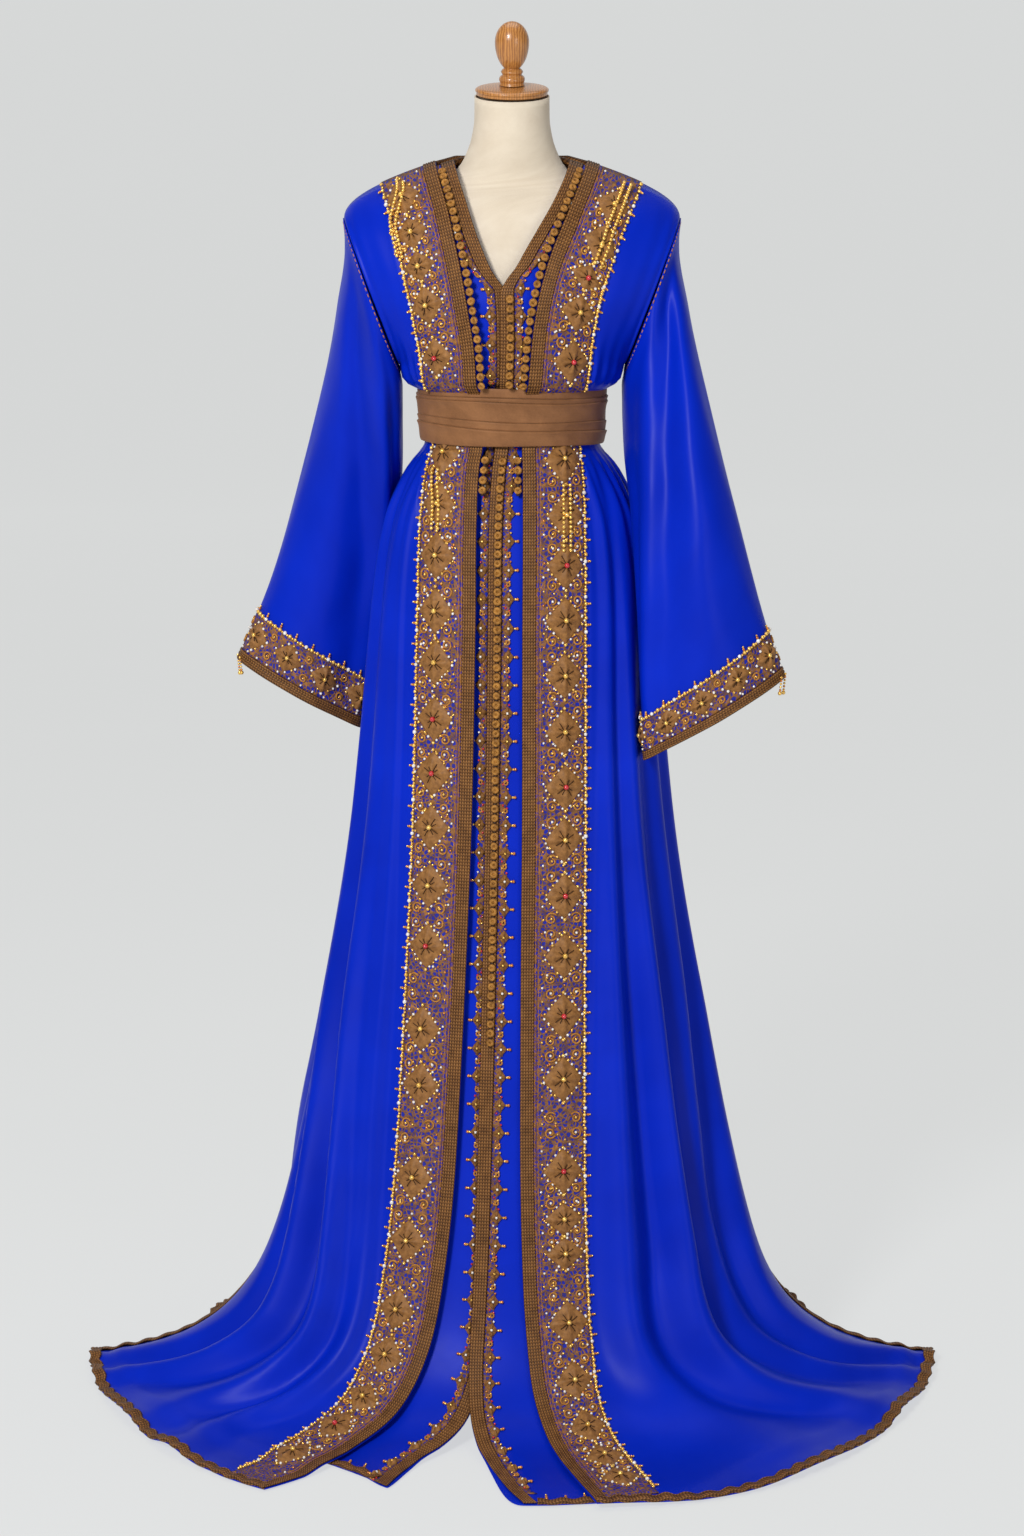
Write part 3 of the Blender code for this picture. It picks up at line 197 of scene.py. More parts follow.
BACK_FOLDS = (
    ((-91,) * 9, FLAT),
    ((-80, -80, -81, -80, -78, -77, -79, -82, -86), (3, 5, 8, 10, 12, 12, 9, 6, 3)),
    ((-73, -72, -71, -69, -68, -68, -70, -75, -80), FLAT),
    ((-64, -62, -60, -60, -59, -59, -62, -68, -74), (4, 8, 14, 19, 22, 21, 15, 8, 4)),
    ((-55, -54, -52, -51, -51, -52, -55, -60, -64), FLAT),
    ((-47, -46, -45, -43, -42, -42, -46, -52, -56), (3, 7, 11, 13, 15, 16, 12, 8, 3)),
    ((-40, -37, -36, -36, -35, -35, -37, -42, -45), FLAT),
    ((-31, -28, -27, -25, -25, -26, -28, -33, -36), (4, 9, 15, 20, 23, 22, 16, 8, 4)),
    ((-20, -19, -17, -16, -16, -16, -17, -20, -23), FLAT),
    ((-12, -9, -8, -6, -5, -5, -6, -8, -12), (2, 6, 10, 12, 14, 15, 11, 6, 3)),
    ((-3, 0, 1, 2, 2, 3, 3, 3, 2), FLAT),
    ((7, 9, 11, 13, 13, 14, 15, 17, 18), (4, 8, 14, 18, 21, 22, 15, 9, 4)),
    ((17, 19, 20, 21, 22, 22, 24, 28, 30), FLAT),
    ((25, 28, 29, 31, 32, 32, 35, 40, 43), (3, 6, 9, 12, 13, 14, 11, 7, 3)),
    ((35, 37, 38, 39, 40, 40, 43, 49, 53), FLAT),
    ((45, 47, 49, 50, 51, 51, 55, 60, 65), (4, 9, 15, 19, 22, 21, 15, 8, 4)),
    ((56, 57, 59, 60, 60, 61, 64, 70, 75), FLAT),
    ((66, 68, 70, 70, 71, 71, 73, 78, 83), (3, 7, 11, 14, 16, 15, 11, 7, 3)),
    ((91,) * 9, FLAT),
)
FOLDS = {"left": LEFT_FOLDS, "right": RIGHT_FOLDS, "back": BACK_FOLDS}
# Gathers at the belt: turn at the belt and at the far end, far end's fall, height in millimetres
# and half width in degrees.
GATHERS_ABOVE = {
    "left": ((-36, -38, 0.19, 2.2, 2.2), (-43, -47, 0.16, 3.0, 2.6), (-52, -57, 0.18, 3.6, 3.0),
             (-61, -68, 0.15, 2.6, 2.4), (-70, -78, 0.18, 3.4, 3.2), (-79, -86, 0.20, 2.0, 2.4)),
    "right": ((31, 33, 0.17, 3.4, 2.4), (38, 42, 0.14, 2.8, 2.6), (45, 50, 0.18, 3.8, 2.6),
              (54, 59, 0.16, 2.6, 2.8), (63, 71, 0.14, 3.4, 3.2), (74, 83, 0.19, 2.4, 2.8)),
    "back": ((-78, -83, 0.18, 2.6, 2.6), (-66, -71, 0.14, 3.4, 3.0), (-53, -57, 0.17, 2.4, 2.4),
             (-44, -47, 0.15, 3.6, 2.8), (-30, -32, 0.18, 2.8, 2.6), (-19, -20, 0.14, 3.2, 3.0),
             (-6, -6, 0.17, 2.4, 2.4), (5, 6, 0.15, 3.4, 2.8), (17, 18, 0.18, 2.6, 2.6),
             (29, 32, 0.14, 3.6, 3.0), (43, 46, 0.17, 2.6, 2.4), (55, 60, 0.15, 3.2, 2.8),
             (69, 75, 0.18, 2.8, 2.8)),
}
GATHERS_BELOW = {
    "left": ((-54, -50, 0.62, 2.4, 2.0), (-60, -58, 0.72, 3.4, 2.4), (-67, -66, 0.58, 2.8, 2.2),
             (-74, -75, 0.70, 3.4, 2.6), (-82, -83, 0.60, 2.4, 2.2)),
    "right": ((45, 41, 0.66, 3.2, 2.2), (51, 48, 0.56, 2.6, 2.2), (59, 57, 0.72, 3.6, 2.6),
              (67, 66, 0.60, 2.6, 2.2), (75, 75, 0.68, 3.4, 2.6), (83, 84, 0.56, 2.2, 2.2)),
    "back": ((-80, -81, 0.60, 2.6, 2.2), (-69, -67, 0.68, 3.6, 2.6), (-58, -56, 0.54, 2.6, 2.4),
             (-45, -44, 0.70, 3.4, 2.6), (-33, -30, 0.60, 3.0, 2.4), (-21, -20, 0.66, 3.4, 2.8),
             (-9, -9, 0.56, 2.4, 2.2), (3, 4, 0.70, 3.6, 2.6), (14, 16, 0.60, 2.6, 2.4),
             (27, 29, 0.66, 3.4, 2.6), (40, 43, 0.56, 2.8, 2.4), (52, 54, 0.70, 3.4, 2.6),
             (63, 66, 0.60, 2.8, 2.4), (76, 78, 0.66, 3.2, 2.6)),
}
SLEEVE_LEFT = ("share outer_x outer_z inner_x inner_z mid_y depth", [
    (0.00, -0.2120, 1.5030, -0.1400, 1.3120, 0.000, 0.0700),
    (0.08, -0.2115, 1.4630, -0.1405, 1.2780, 0.004, 0.0690),
    (0.25, -0.2230, 1.3850, -0.1420, 1.2100, 0.026, 0.0620),
    (0.45, -0.2500, 1.2640, -0.1480, 1.1200, 0.066, 0.0560),
    (0.65, -0.2840, 1.1370, -0.1610, 1.0210, 0.088, 0.0530),
    (0.82, -0.3210, 1.0200, -0.1820, 0.9280, 0.092, 0.0500),
    (1.00, -0.3610, 0.9270, -0.2020, 0.8370, 0.090, 0.0460),
])
SLEEVE_RIGHT = ("share outer_x outer_z inner_x inner_z mid_y depth", [
    (0.00, 0.2120, 1.5030, 0.1400, 1.3120, 0.000, 0.0700),
    (0.08, 0.2110, 1.4630, 0.1410, 1.2780, -0.003, 0.0690),
    (0.25, 0.2230, 1.3850, 0.1440, 1.2100, -0.028, 0.0620),
    (0.45, 0.2490, 1.2640, 0.1530, 1.1200, -0.072, 0.0560),
    (0.65, 0.2810, 1.1370, 0.1590, 1.0000, -0.100, 0.0520),
    (0.82, 0.3130, 1.0200, 0.1630, 0.9060, -0.108, 0.0480),
    (1.00, 0.3430, 0.9310, 0.1690, 0.8280, -0.110, 0.0440),
])
SLEEVES = {"left": SLEEVE_LEFT, "right": SLEEVE_RIGHT}
# Fold lines of a sleeve: angle round the tube (0 is the outer edge, 90 the middle of the front) and
# height in millimetres at these shares of its length.
SLEEVE_SHARES_AT = np.array((0.0, 0.2, 0.4, 0.6, 0.8, 1.0))
SLEEVE_LINES = (
    ((8, 8, 10, 12, 14, 16), (0, 1, 0, 0, -1, 0)),
    ((35, 42, 58, 70, 78, 84), (1, 4, 6, 6, 4, 2)),
    ((58, 66, 92, 112, 126, 134), (0, -5, -6, -5, -4, -2)),
    ((92, 112, 130, 148, 156, 162), (1, 3, 4, 4, 3, 2)),
    ((128, 140, 152, 166, 172, 178), (0, -3, -3, -2, -1, 0)),
    ((196, 200, 204, 206, 208, 210), (0, 2, 3, 3, 2, 1)),
    ((222, 226, 232, 238, 242, 244), (0, -4, -6, -5, -4, -2)),
    ((252, 258, 266, 272, 276, 280), (1, 4, 6, 5, 4, 2)),
    ((284, 292, 300, 306, 310, 314), (0, -4, -4, -4, -3, -1)),
    ((322, 328, 334, 338, 342, 344), (0, 2, 2, 2, 1, 0)),
)
# Dress form: rings from the hip up to the leaning neck.
FORM = ("z side front back middle lean", [
    (1.0000, 0.1310, 0.1080, 0.1120, 0.000, 0.000),
    (1.0600, 0.1360, 0.1120, 0.1180, 0.000, 0.000),
    (1.1280, 0.1220, 0.1010, 0.1050, 0.000, 0.000),
    (1.1800, 0.0990, 0.0870, 0.0830, 0.000, 0.000),
    (1.2150, 0.0890, 0.0780, 0.0740, 0.000, 0.000),
    (1.2550, 0.0880, 0.0780, 0.0710, 0.000, 0.000),
    (1.2880, 0.0930, 0.0830, 0.0710, 0.000, 0.000),
    (1.3300, 0.1150, 0.1020, 0.0750, 0.000, 0.000),
    (1.4000, 0.1400, 0.1040, 0.0810, 0.000, 0.000),
    (1.4500, 0.1550, 0.0950, 0.0800, 0.000, 0.000),
    (1.5000, 0.1620, 0.0760, 0.0680, 0.000, 0.000),
    (1.5300, 0.1480, 0.0560, 0.0560, 0.000, 0.000),
    (1.5420, 0.1130, 0.0420, 0.0440, 0.000, 0.020),
    (1.5520, 0.0840, 0.0400, 0.0440, 0.000, 0.040),
    (1.5610, 0.0700, 0.0410, 0.0440, -0.001, 0.060),
    (1.5710, 0.0620, 0.0430, 0.0450, -0.002, 0.080),
    (1.5830, 0.0560, 0.0450, 0.0460, -0.004, 0.110),
    (1.6000, 0.0500, 0.0460, 0.0460, -0.006, 0.140),
    (1.6270, 0.0458, 0.0452, 0.0452, -0.010, 0.176),
    (1.6540, 0.0455, 0.0452, 0.0452, -0.015, 0.176),
])
CAP_LEAN = math.radians(10.0)
CAP_CENTRE = (0.0, -0.0151, 1.6545)
# Turned profiles run down their outer side: radius and height above the part's own foot.
CAP_PROFILE = ((0.0, 0.0130), (0.0300, 0.0120), (0.0430, 0.0105), (0.0462, 0.0085),
               (0.0462, 0.0060), (0.0448, 0.0050), (0.0448, 0.0006), (0.0, 0.0006))
COLLAR_PROFILE = ((0.0110, 0.0340), (0.0125, 0.0325), (0.0143, 0.0300), (0.0125, 0.0275),
                  (0.0120, 0.0262), (0.0155, 0.0240), (0.0165, 0.0200), (0.0148, 0.0165),
                  (0.0163, 0.0140), (0.0163, 0.0133), (0.0, 0.0133))
EGG_FOOT, EGG_TOP, EGG_RADIUS = 0.0340, 0.0925, 0.0215

# --- ornament: falls of the flowers down each band, r for a red bead in the centre ------------------
LEFT_FLOWERS = "0.029 0.074 0.116 0.166 0.235r 0.367 0.428 0.492 0.559 0.622 0.693r 0.761r 0.829" \
    " 0.902 0.978r 1.082 1.153 1.270 1.352 1.443 1.508 1.575 1.624r 1.696"
RIGHT_FLOWERS = "0.039 0.078 0.122r 0.178 0.243r 0.374 0.442 0.503r 0.569 0.637 0.707 0.776r" \
    " 0.842 0.912r 0.987 1.062r 1.141 1.256r 1.316 1.360 1.449 1.527 1.599 1.661 1.716"
FOLD_DEPTHS = (1.35, 2.0)  # the listed heights of the skirt's folds grow by these, above and below
SLEEVE_FOLD_DEPTH = 1.7
UNDER_MOTIF_PITCH = 0.035  # points of the under-dress's lace, one motif on each
FLOWER_ACROSS = 0.0545  # middle of the beaded band, from the front edge
FLOWER_HALF_WIDTH = 0.0250
FLOWER_HALF_LENGTH = 0.0285
SMALL_FLOWER = 0.012  # half width under which a flower has fewer rings and no painted crease shade
PETAL_RINGS = (0.0, 0.10, 0.24, 0.42, 0.60, 0.78, 0.92, 1.0, 1.0)
SMALL_PETAL_RINGS = (0.0, 0.22, 0.55, 0.85, 1.0, 1.0)
PETAL_FOOT = 0.0019  # a flower's edge stands this high over the sheet
EDGE_BEAD_PITCH = 0.0085


# --- tables and curves -----------------------------------------------------------------------------
def columns(table):
    """A table's columns by name, as arrays."""
    names, rows = table
    return dict(zip(names.split(), np.array(rows, float).T))


def smooth(x, xs, ys):
    """A monotone cubic curve through the points (xs, ys), read at x."""
    x = np.clip(np.asarray(x, float), xs[0], xs[-1])
    step = np.diff(xs)
    slope = np.diff(ys) / step
    tangent = np.empty_like(ys)
    tangent[0], tangent[-1] = slope[0], slope[-1]
    before, after = slope[:-1], slope[1:]
    first, second = 2 * step[1:] + step[:-1], step[1:] + 2 * step[:-1]
    turning = before * after <= 0
    safe_before, safe_after = np.where(turning, 1.0, before), np.where(turning, 1.0, after)
    mean = (first + second) / (first / safe_before + second / safe_after)
    tangent[1:-1] = np.where(turning, 0.0, mean)
    k = np.clip(np.searchsorted(xs, x, side="right") - 1, 0, len(xs) - 2)
    t = (x - xs[k]) / step[k]
    return ((1 + 2 * t) * (1 - t) ** 2 * ys[k] + t * (1 - t) ** 2 * step[k] * tangent[k]
            + t * t * (3 - 2 * t) * ys[k + 1] + t * t * (t - 1) * step[k] * tangent[k + 1])


def ease(t):
    t = np.clip(t, 0.0, 1.0)
    return t * t * (3 - 2 * t)


def robe_stations():
    """Chest rows and skirt rows as one table of arrays."""
    chest, skirt = columns(CHEST), columns(SKIRT)
    around = (1 - np.cos(np.pi * chest["share"])) / 2
    zero = np.zeros_like(skirt["fall"])
    neck_z = NECK_POINT_Z + (UNDERARM_Z - NECK_POINT_Z) * chest["share"]
    return {
        "fall": np.concatenate([ARMHOLE_FALL * chest["share"], skirt["fall"]]),
        "z_neck": np.concatenate([neck_z, skirt["z"]]),
        "z_side": np.concatenate([TIP_Z + (UNDERARM_Z - TIP_Z) * around, skirt["z"]]),
        "side": np.concatenate([TIP_X + (UNDERARM_X - TIP_X) * around, skirt["side"]]),
        "edge": np.concatenate([ARMHOLE_DEPTH * np.sin(np.pi * chest["share"]), zero]),
        "front": np.concatenate([chest["front"], skirt["front"]]),
        "back": np.concatenate([chest["back"], skirt["back"]]),
    }


STATIONS = robe_stations()
FORM_RINGS = columns(FORM)


# --- the body surface ------------------------------------------------------------------------------
def body(turn, fall, rear, neck=NECK_HALF_WIDTH):
    """Point of the robe without folds. Turn runs from -90 to 90 on the front and on the back."""
    turn, fall = np.broadcast_arrays(np.asarray(turn, float), np.asarray(fall, float))
    at = {name: smooth(fall, STATIONS["fall"], STATIONS[name]) for name in STATIONS}
    angle = np.radians(turn)
    depth = at["back"] if rear else at["front"]
    x = at["side"] * np.sin(angle)
    y = np.sqrt(np.maximum(at["edge"] ** 2 + (depth**2 - at["edge"] ** 2) * np.cos(angle) ** 2, 0))
    if rear:
        x = x * (1 - TRAIN_PULL * ease((fall - TRAIN_FALLS[0]) / (TRAIN_FALLS[1] - TRAIN_FALLS[0])))
        hollow = np.maximum(1 - (x / neck) ** 2, 0)
        y = np.hypot(y, NECK_BACK * hollow * np.clip(1 - fall / NECK_FADE, 0, 1))
    rise = np.minimum((90 - np.abs(turn)) / NECK_TURN_SPAN, 1.13)
    z = at["z_side"] + (at["z_neck"] - at["z_side"]) * rise
    return np.stack([x, y if rear else -y, z], -1)


def tangents(turn, fall, rear, neck=NECK_HALF_WIDTH):
    """Change of the body point for each degree of turn and for each metre of fall."""
    low, high = np.maximum(turn - 0.5, -90), np.minimum(turn + 0.5, 90)
    over, below = np.maximum(fall - 0.004, 0.0), fall + 0.004
    across = body(high, fall, rear, neck) - body(low, fall, rear, neck)
    down = body(turn, below, rear, neck) - body(turn, over, rear, neck)
    return across / (high - low)[..., None], down / (below - over)[..., None]


def outward(turn, fall, rear, neck=NECK_HALF_WIDTH):
    across, down = tangents(turn, fall, rear, neck)
    normal = np.cross(across, down) if rear else np.cross(down, across)
    return normal / np.linalg.norm(normal, axis=-1, keepdims=True)


def parted(point, turn, fall, rear, neck, drop):
    """Keeps a sheet on its own side of the shoulder seam."""
    top = body(turn, np.zeros_like(fall), rear, neck)
    on_seam = 1.0 if not rear else 1 - np.clip(3 * (1 - (top[..., 0] / neck) ** 2), 0, 1)
    lean = np.abs(outward(turn, np.zeros_like(fall) + 0.002, rear, neck)[..., 1])
    shift = (SHOULDER_APART + drop * lean) * on_seam * (1 - ease(fall / SHOULDER_FADE))
    point[..., 1] += shift if rear else -shift
    return point


def line_heights(turn, fall, lines, marks, period=None):
    """Height over a surface crossed by fold lines: eased between each line and the next."""
    places = [smooth(fall, marks, np.array(line[0], float)) for line in lines]
    heights = [smooth(fall, marks, np.array(line[1], float)) * 0.001 for line in lines]
    if period is not None:
        places = [places[-1] - period] + places + [places[0] + period]
        heights = [heights[-1]] + heights + [heights[0]]
    total = np.zeros_like(turn)
    for k in range(len(places) - 1):
        share = (turn - places[k]) / np.maximum(places[k + 1] - places[k], 0.01)
        inside = (share >= 0) & (share < 1)
        height = heights[k] + (heights[k + 1] - heights[k]) * ease(share)
        total = np.where(inside, height, total)
    return total


def gather_height(turn, fall, gathers, belt_fall):
    """Height of the creases that the sash gathers, deepest a little way from it."""
    total = np.zeros_like(turn)
    for at_belt, far_turn, far_fall, height, width in gathers:
        share = np.clip((fall - belt_fall) / (far_fall - belt_fall), 0, 1)
        path = at_belt + (far_turn - at_belt) * share
        reach = np.where((fall - belt_fall) * (far_fall - belt_fall) >= 0, 1.0, 0.0)
        strength = reach * ease(share / 0.18) * (1 - ease(share)) * 1.6
        spread = width * (1 + 0.8 * share)
        total = total + 0.001 * height * strength * np.exp(-(((turn - path) / spread) ** 2))
    return total


def ripples(turn, fall):
    """Slow, uneven swells of the cloth, so that no part of it is quite flat."""
    a = np.sin(turn * 0.171 + 3.1 * fall + 1.3) * np.sin(fall * 5.3 - turn * 0.043 + 0.4)
    b = np.sin(turn * 0.293 - 5.7 * fall + 0.2) * np.sin(fall * 9.1 + turn * 0.061 + 2.1)
    c = np.sin(turn * 0.47 + 2.3 * fall + 4.0) * np.sin(fall * 3.7 + 1.0)
    return 0.0007 * (a + 0.6 * b + 0.5 * c)


def off_band(turn, fall):
    """0 on the ornamented bands of the robe's fronts, 1 a little way past their outer edge."""
    total = np.ones_like(turn)
    for side in SIGN:
        edge, per_turn, _ = edge_frame(ROBE_EDGE, side, fall)
        past = SIGN[side] * (turn - edge - per_turn * BAND_SHEET)
        mine = SIGN[side] * (turn - edge_mid(fall)) > 0
        total = np.where(mine, ease(past / BAND_FADE), total)
    return total


def edge_mid(fall):
    """Turn halfway between the robe's two front edges."""
    edge = columns(ROBE_EDGE)
    return (smooth(fall, edge["fall"], edge["left"]) + smooth(fall, edge["fall"], edge["right"])) / 2


def relief(turn, fall, rear):
    """Height of the folds over the robe's plain form; there are none on the belt and the bands."""
    deeper = FOLD_DEPTHS[0] + (FOLD_DEPTHS[1] - FOLD_DEPTHS[0]) * ease((fall - 0.80) / 0.30)
    low = ease((fall - 0.362) / 0.09) * deeper
    parts = ("back",) if rear else tuple(SIGN)
    height = sum(line_heights(turn, fall, FOLDS[part], FOLD_FALLS) for part in parts) * low
    for part in parts:
        height = height + gather_height(turn, fall, GATHERS_ABOVE[part], BELT_FALLS[0])
        height = height + gather_height(turn, fall, GATHERS_BELOW[part], BELT_FALLS[1])
    clear = (1 - ease((fall - 0.26) / 0.02)) + ease((fall - 0.362) / 0.03)
    swell = (ripples(turn, fall) + 0.0009) * clear * ease((90 - np.abs(turn)) / 8)
    swell = swell * ease(fall / 0.06)
    return (height + swell) * (1.0 if rear else off_band(turn, fall))


def robe(turn, fall, rear, folded=True):
    """Point of the robe's sheet, with its folds, settled on the floor past the under-dress."""
    turn, fall = np.broadcast_arrays(np.asarray(turn, float), np.asarray(fall, float))
    point = body(turn, fall, rear)
    under_hem = UNDER_BACK_HEM if rear else under_hem_fall(turn)
    settle = FLOOR_SETTLE * ease((fall - under_hem - 0.015) / 0.045)
    if folded:
        point = point + outward(turn, fall, rear) * relief(turn, fall, rear)[..., None]
    point[..., 2] -= settle
    return parted(point, turn, fall, rear, NECK_HALF_WIDTH, 0.0)


def under(turn, fall, rear, drop=LAYER_DROP):
    """Point of the under-dress, inside the robe; on the floor both fronts lie at one level."""
    turn, fall = np.broadcast_arrays(np.asarray(turn, float), np.asarray(fall, float))
    lapped = ease((fall - 0.115) / 0.05) * (1 - ease((fall - 1.56) / 0.08))
    level = LAYER_DROP + (drop - LAYER_DROP) * lapped
    neck = UNDER_NECK_HALF_WIDTH
    point = body(turn, fall, rear, neck) - outward(turn, fall, rear, neck) * level[..., None]
    return parted(point, turn, fall, rear, neck, LAYER_DROP)


# --- places on the sheets --------------------------------------------------------------------------
def edge_frame(table, side, fall):
    """Turn of a front edge, and the change of turn and fall for each metre into the panel."""
    edge = columns(table)
    turn = smooth(fall, edge["fall"], edge[side])
    slope = (smooth(fall + 0.004, edge["fall"], edge[side])
             - smooth(fall - 0.004, edge["fall"], edge[side])) / 0.008
    across, down = tangents(turn, fall, False)
    along = across * slope[..., None] + down
    square = (along * along).sum(-1)
    lean = (along * across).sum(-1) / square
    inward = across - along * lean[..., None]
    length = np.linalg.norm(inward, axis=-1)
    return turn, SIGN[side] * (1 - lean * slope) / length, SIGN[side] * (-lean) / length


def seam_turn(fall):
    """Degrees that keep a side edge back from its seam line."""
    depth = smooth(fall, STATIONS["fall"], STATIONS["front"])
    return np.degrees(SEAM / np.maximum(depth, 0.02))


def hem_fall(turn):
    hem = columns(HEM)
    return smooth(np.abs(turn), hem["turn"], hem["fall"])


def corner_fall(side):
    """Fall of the hem at a front's corner."""
    return float(hem_fall(CORNER[side]))


def under_hem_fall(turn):
    hem = columns(UNDER_HEM)
    return smooth(turn, hem["turn"], hem["fall"])


def unit(vectors):
    return vectors / np.maximum(np.linalg.norm(vectors, axis=-1, keepdims=True), 1e-9)


def run_along(path):
    """Distance of each point of a path from its first."""
    return np.concatenate([[0.0], np.cumsum(np.linalg.norm(np.diff(path, axis=0), axis=1))])


def sheet_normal(sheet_at, turn, fall, rear):
    """The outward normal of a sheet, folds and all."""
    across = sheet_at(np.minimum(turn + 0.3, 90), fall) - sheet_at(np.maximum(turn - 0.3, -90), fall)
    down = sheet_at(turn, fall + 0.003) - sheet_at(turn, np.maximum(fall - 0.003, 0.0))
    return unit(np.cross(across, down) if rear else np.cross(down, across))


def raised(sheet_at, turn, fall, rear, height):
    """Points at a height over a sheet, along its own normal."""
    turn, fall, height = np.broadcast_arrays(np.asarray(turn, float), np.asarray(fall, float),
                                             np.asarray(height, float))
    return sheet_at(turn, fall) + sheet_normal(sheet_at, turn, fall, rear) * height[..., None]


def bent_to_hem(nominal, hem, here, start, target):
    """Past the floor row, falls run evenly on to the curved hem."""
    past = np.clip((nominal - FLOOR_FALL) / (hem - FLOOR_FALL), 0, 1)
    return np.where(past > 0, start + (target - start) * past, here)


def band_keep(fall, hem):
    """Share of the sideways lean that a row across the band keeps."""
    keep = np.maximum(1 - ease((fall - 0.10) / 0.10), ease((fall - 1.20) / 0.20))
    return keep * (1 - ease((fall - hem + 0.05) / 0.05))


def front_place(side, across, nominal):
    """Turn and fall of a place on a front's band: metres in from its edge, and down along it."""
    across, nominal = np.broadcast_arrays(np.asarray(across, float), np.asarray(nominal, float))
    hem = corner_fall(side)
    turn_0, per_turn, per_fall = edge_frame(ROBE_EDGE, side, nominal)
    turn = turn_0 + per_turn * across
    fall = nominal + per_fall * band_keep(nominal, hem) * across
    floor = np.full_like(nominal, FLOOR_FALL)
    floor_per_fall = edge_frame(ROBE_EDGE, side, floor)[2]
    start = floor + floor_per_fall * band_keep(floor, hem) * across
    return turn, np.maximum(bent_to_hem(nominal, hem, fall, start, hem_fall(turn)), 0.0)


def side_place(side, nominal):
    """Turn and fall of a front's side seam beside a row of the band."""
    hem = corner_fall(side)
    turn = SIGN[side] * (90 - seam_turn(nominal))
    low = np.minimum(nominal, hem_fall(90.0) - (hem - nominal))
    return turn, nominal + (low - nominal) * ease((nominal - 1.2) / (hem - 1.2))


def front_places(side, band, shares, nominal):
    """Turn and fall over a whole front, row by row: its band, then on to the side seam."""
    hem = corner_fall(side)
    places = [front_place(side, across, nominal) for across in band]
    band_turn, band_fall = places[-1]
    side_turn, side_fall = side_place(side, nominal)
    floor = np.full_like(nominal, FLOOR_FALL)
    floor_band, floor_side = front_place(side, band[-1], floor)[1], side_place(side, floor)[1]
    for share in shares:
        turn = band_turn + (side_turn - band_turn) * share
        fall = band_fall + (side_fall - band_fall) * share
        start = floor_band + (floor_side - floor_band) * share
        places.append((turn, bent_to_hem(nominal, hem, fall, start, hem_fall(turn))))
    return np.array([place[0] for place in places]).T, np.array([place[1] for place in places]).T


def plain_front(turn, fall):
    return robe(turn, fall, False, folded=False)


def robe_front(turn, fall):
    return robe(turn, fall, False)


def robe_rear(turn, fall):
    return robe(turn, fall, True)


def on_band(side):
    """A surface for ornament: points at (metres from the front edge, fall, height over the robe)."""
    def at(across, nominal, height):
        turn, fall = front_place(side, across, nominal)
        return raised(plain_front, turn, fall, False, height)
    return at


def under_place(side, across, nominal):
    """Turn and fall of a place beside an under-dress's front edge."""
    across, nominal = np.broadcast_arrays(np.asarray(across, float), np.asarray(nominal, float))
    turn_0, per_turn, per_fall = edge_frame(UNDER_EDGE, side, nominal)
    keep = ease((nominal - 0.17) / 0.05) * (1 - ease((nominal - 1.60) / 0.10))
    turn = turn_0 + per_turn * across
    fall = np.maximum(nominal + per_fall * keep * across, 0.0)
    return turn, np.minimum(fall, under_hem_fall(turn))


def under_sheet(side):
    """The surface of an under-dress's front; the left one laps under the right."""
    drop = LAP_DROP if side == "left" else LAYER_DROP
    return lambda turn, fall: under(turn, fall, False, drop)


def on_under(side):
    """A surface for ornament on an under-dress front, as on_band."""
    def at(across, nominal, height):
        turn, fall = under_place(side, across, nominal)
        return raised(under_sheet(side), turn, fall, False, height)
    return at


def sleeve(table, angle, share, height=0.0):
    """Points of a sleeve's tube, with its folds, at angles in degrees and shares of its length."""
    at = columns(table)
    sign = -1.0 if at["outer_x"][0] < 0 else 1.0
    angle, share = np.broadcast_arrays(np.asarray(angle, float), np.asarray(share, float))
    around = np.radians(angle)
    read = {name: smooth(share, at["share"], at[name]) for name in at}
    mid_x = (read["outer_x"] + read["inner_x"]) / 2
    mid_z = (read["outer_z"] + read["inner_z"]) / 2
    lines = line_heights(angle % 360.0, share, SLEEVE_LINES, SLEEVE_SHARES_AT, 360.0)
    grow = ease((share - 0.015) / 0.12)
    wave = 0.0009 * np.sin(around * 7 + 9 * share + sign) * np.sin(share * 11 + 2 * around)
    lift = (lines * SLEEVE_FOLD_DEPTH + wave) * grow + height
    wide = np.abs(read["outer_x"] - mid_x)
    x = mid_x + (read["outer_x"] - mid_x) * np.cos(around)
    z = mid_z + (read["outer_z"] - mid_z) * np.cos(around)
    y = read["mid_y"] - read["depth"] * np.sin(around)
    long = np.hypot(wide, read["outer_z"] - mid_z)
    across_x, across_z = (read["outer_x"] - mid_x) / long, (read["outer_z"] - mid_z) / long
    out_a = np.cos(around) / long
    out_b = np.sin(around) / read["depth"]
    size = np.hypot(out_a, out_b)
    x = x + lift * across_x * out_a / size
    z = z + lift * across_z * out_a / size
    y = y - lift * out_b / size
    clear = (0.0016 + 0.0018 * (1 - np.cos(around)) / 2) * (1 - ease(share / 0.05))
    return np.stack([x + sign * ARMHOLE_OUT[0] * clear, y, z - ARMHOLE_OUT[1] * clear], -1)


def on_cuff(table):
    """A surface for ornament round a cuff: (metres round it, metres up from its edge, height)."""
    def at(around, up, height):
        around, up, height = np.broadcast_arrays(np.asarray(around, float), np.asarray(up, float),
                                                 np.asarray(height, float))
        return sleeve(table, cuff_angle(table, around), 1 - up / SLEEVE_LENGTH, height)
    return at


def cuff_ring(table):
    """Angles round the tube, and the distance round the cuff at each."""
    angles = np.linspace(0.0, 360.0, 181)
    return angles, run_along(sleeve(table, angles, np.full_like(angles, 0.93)))


def cuff_girth(table):
    return float(cuff_ring(table)[1][-1])


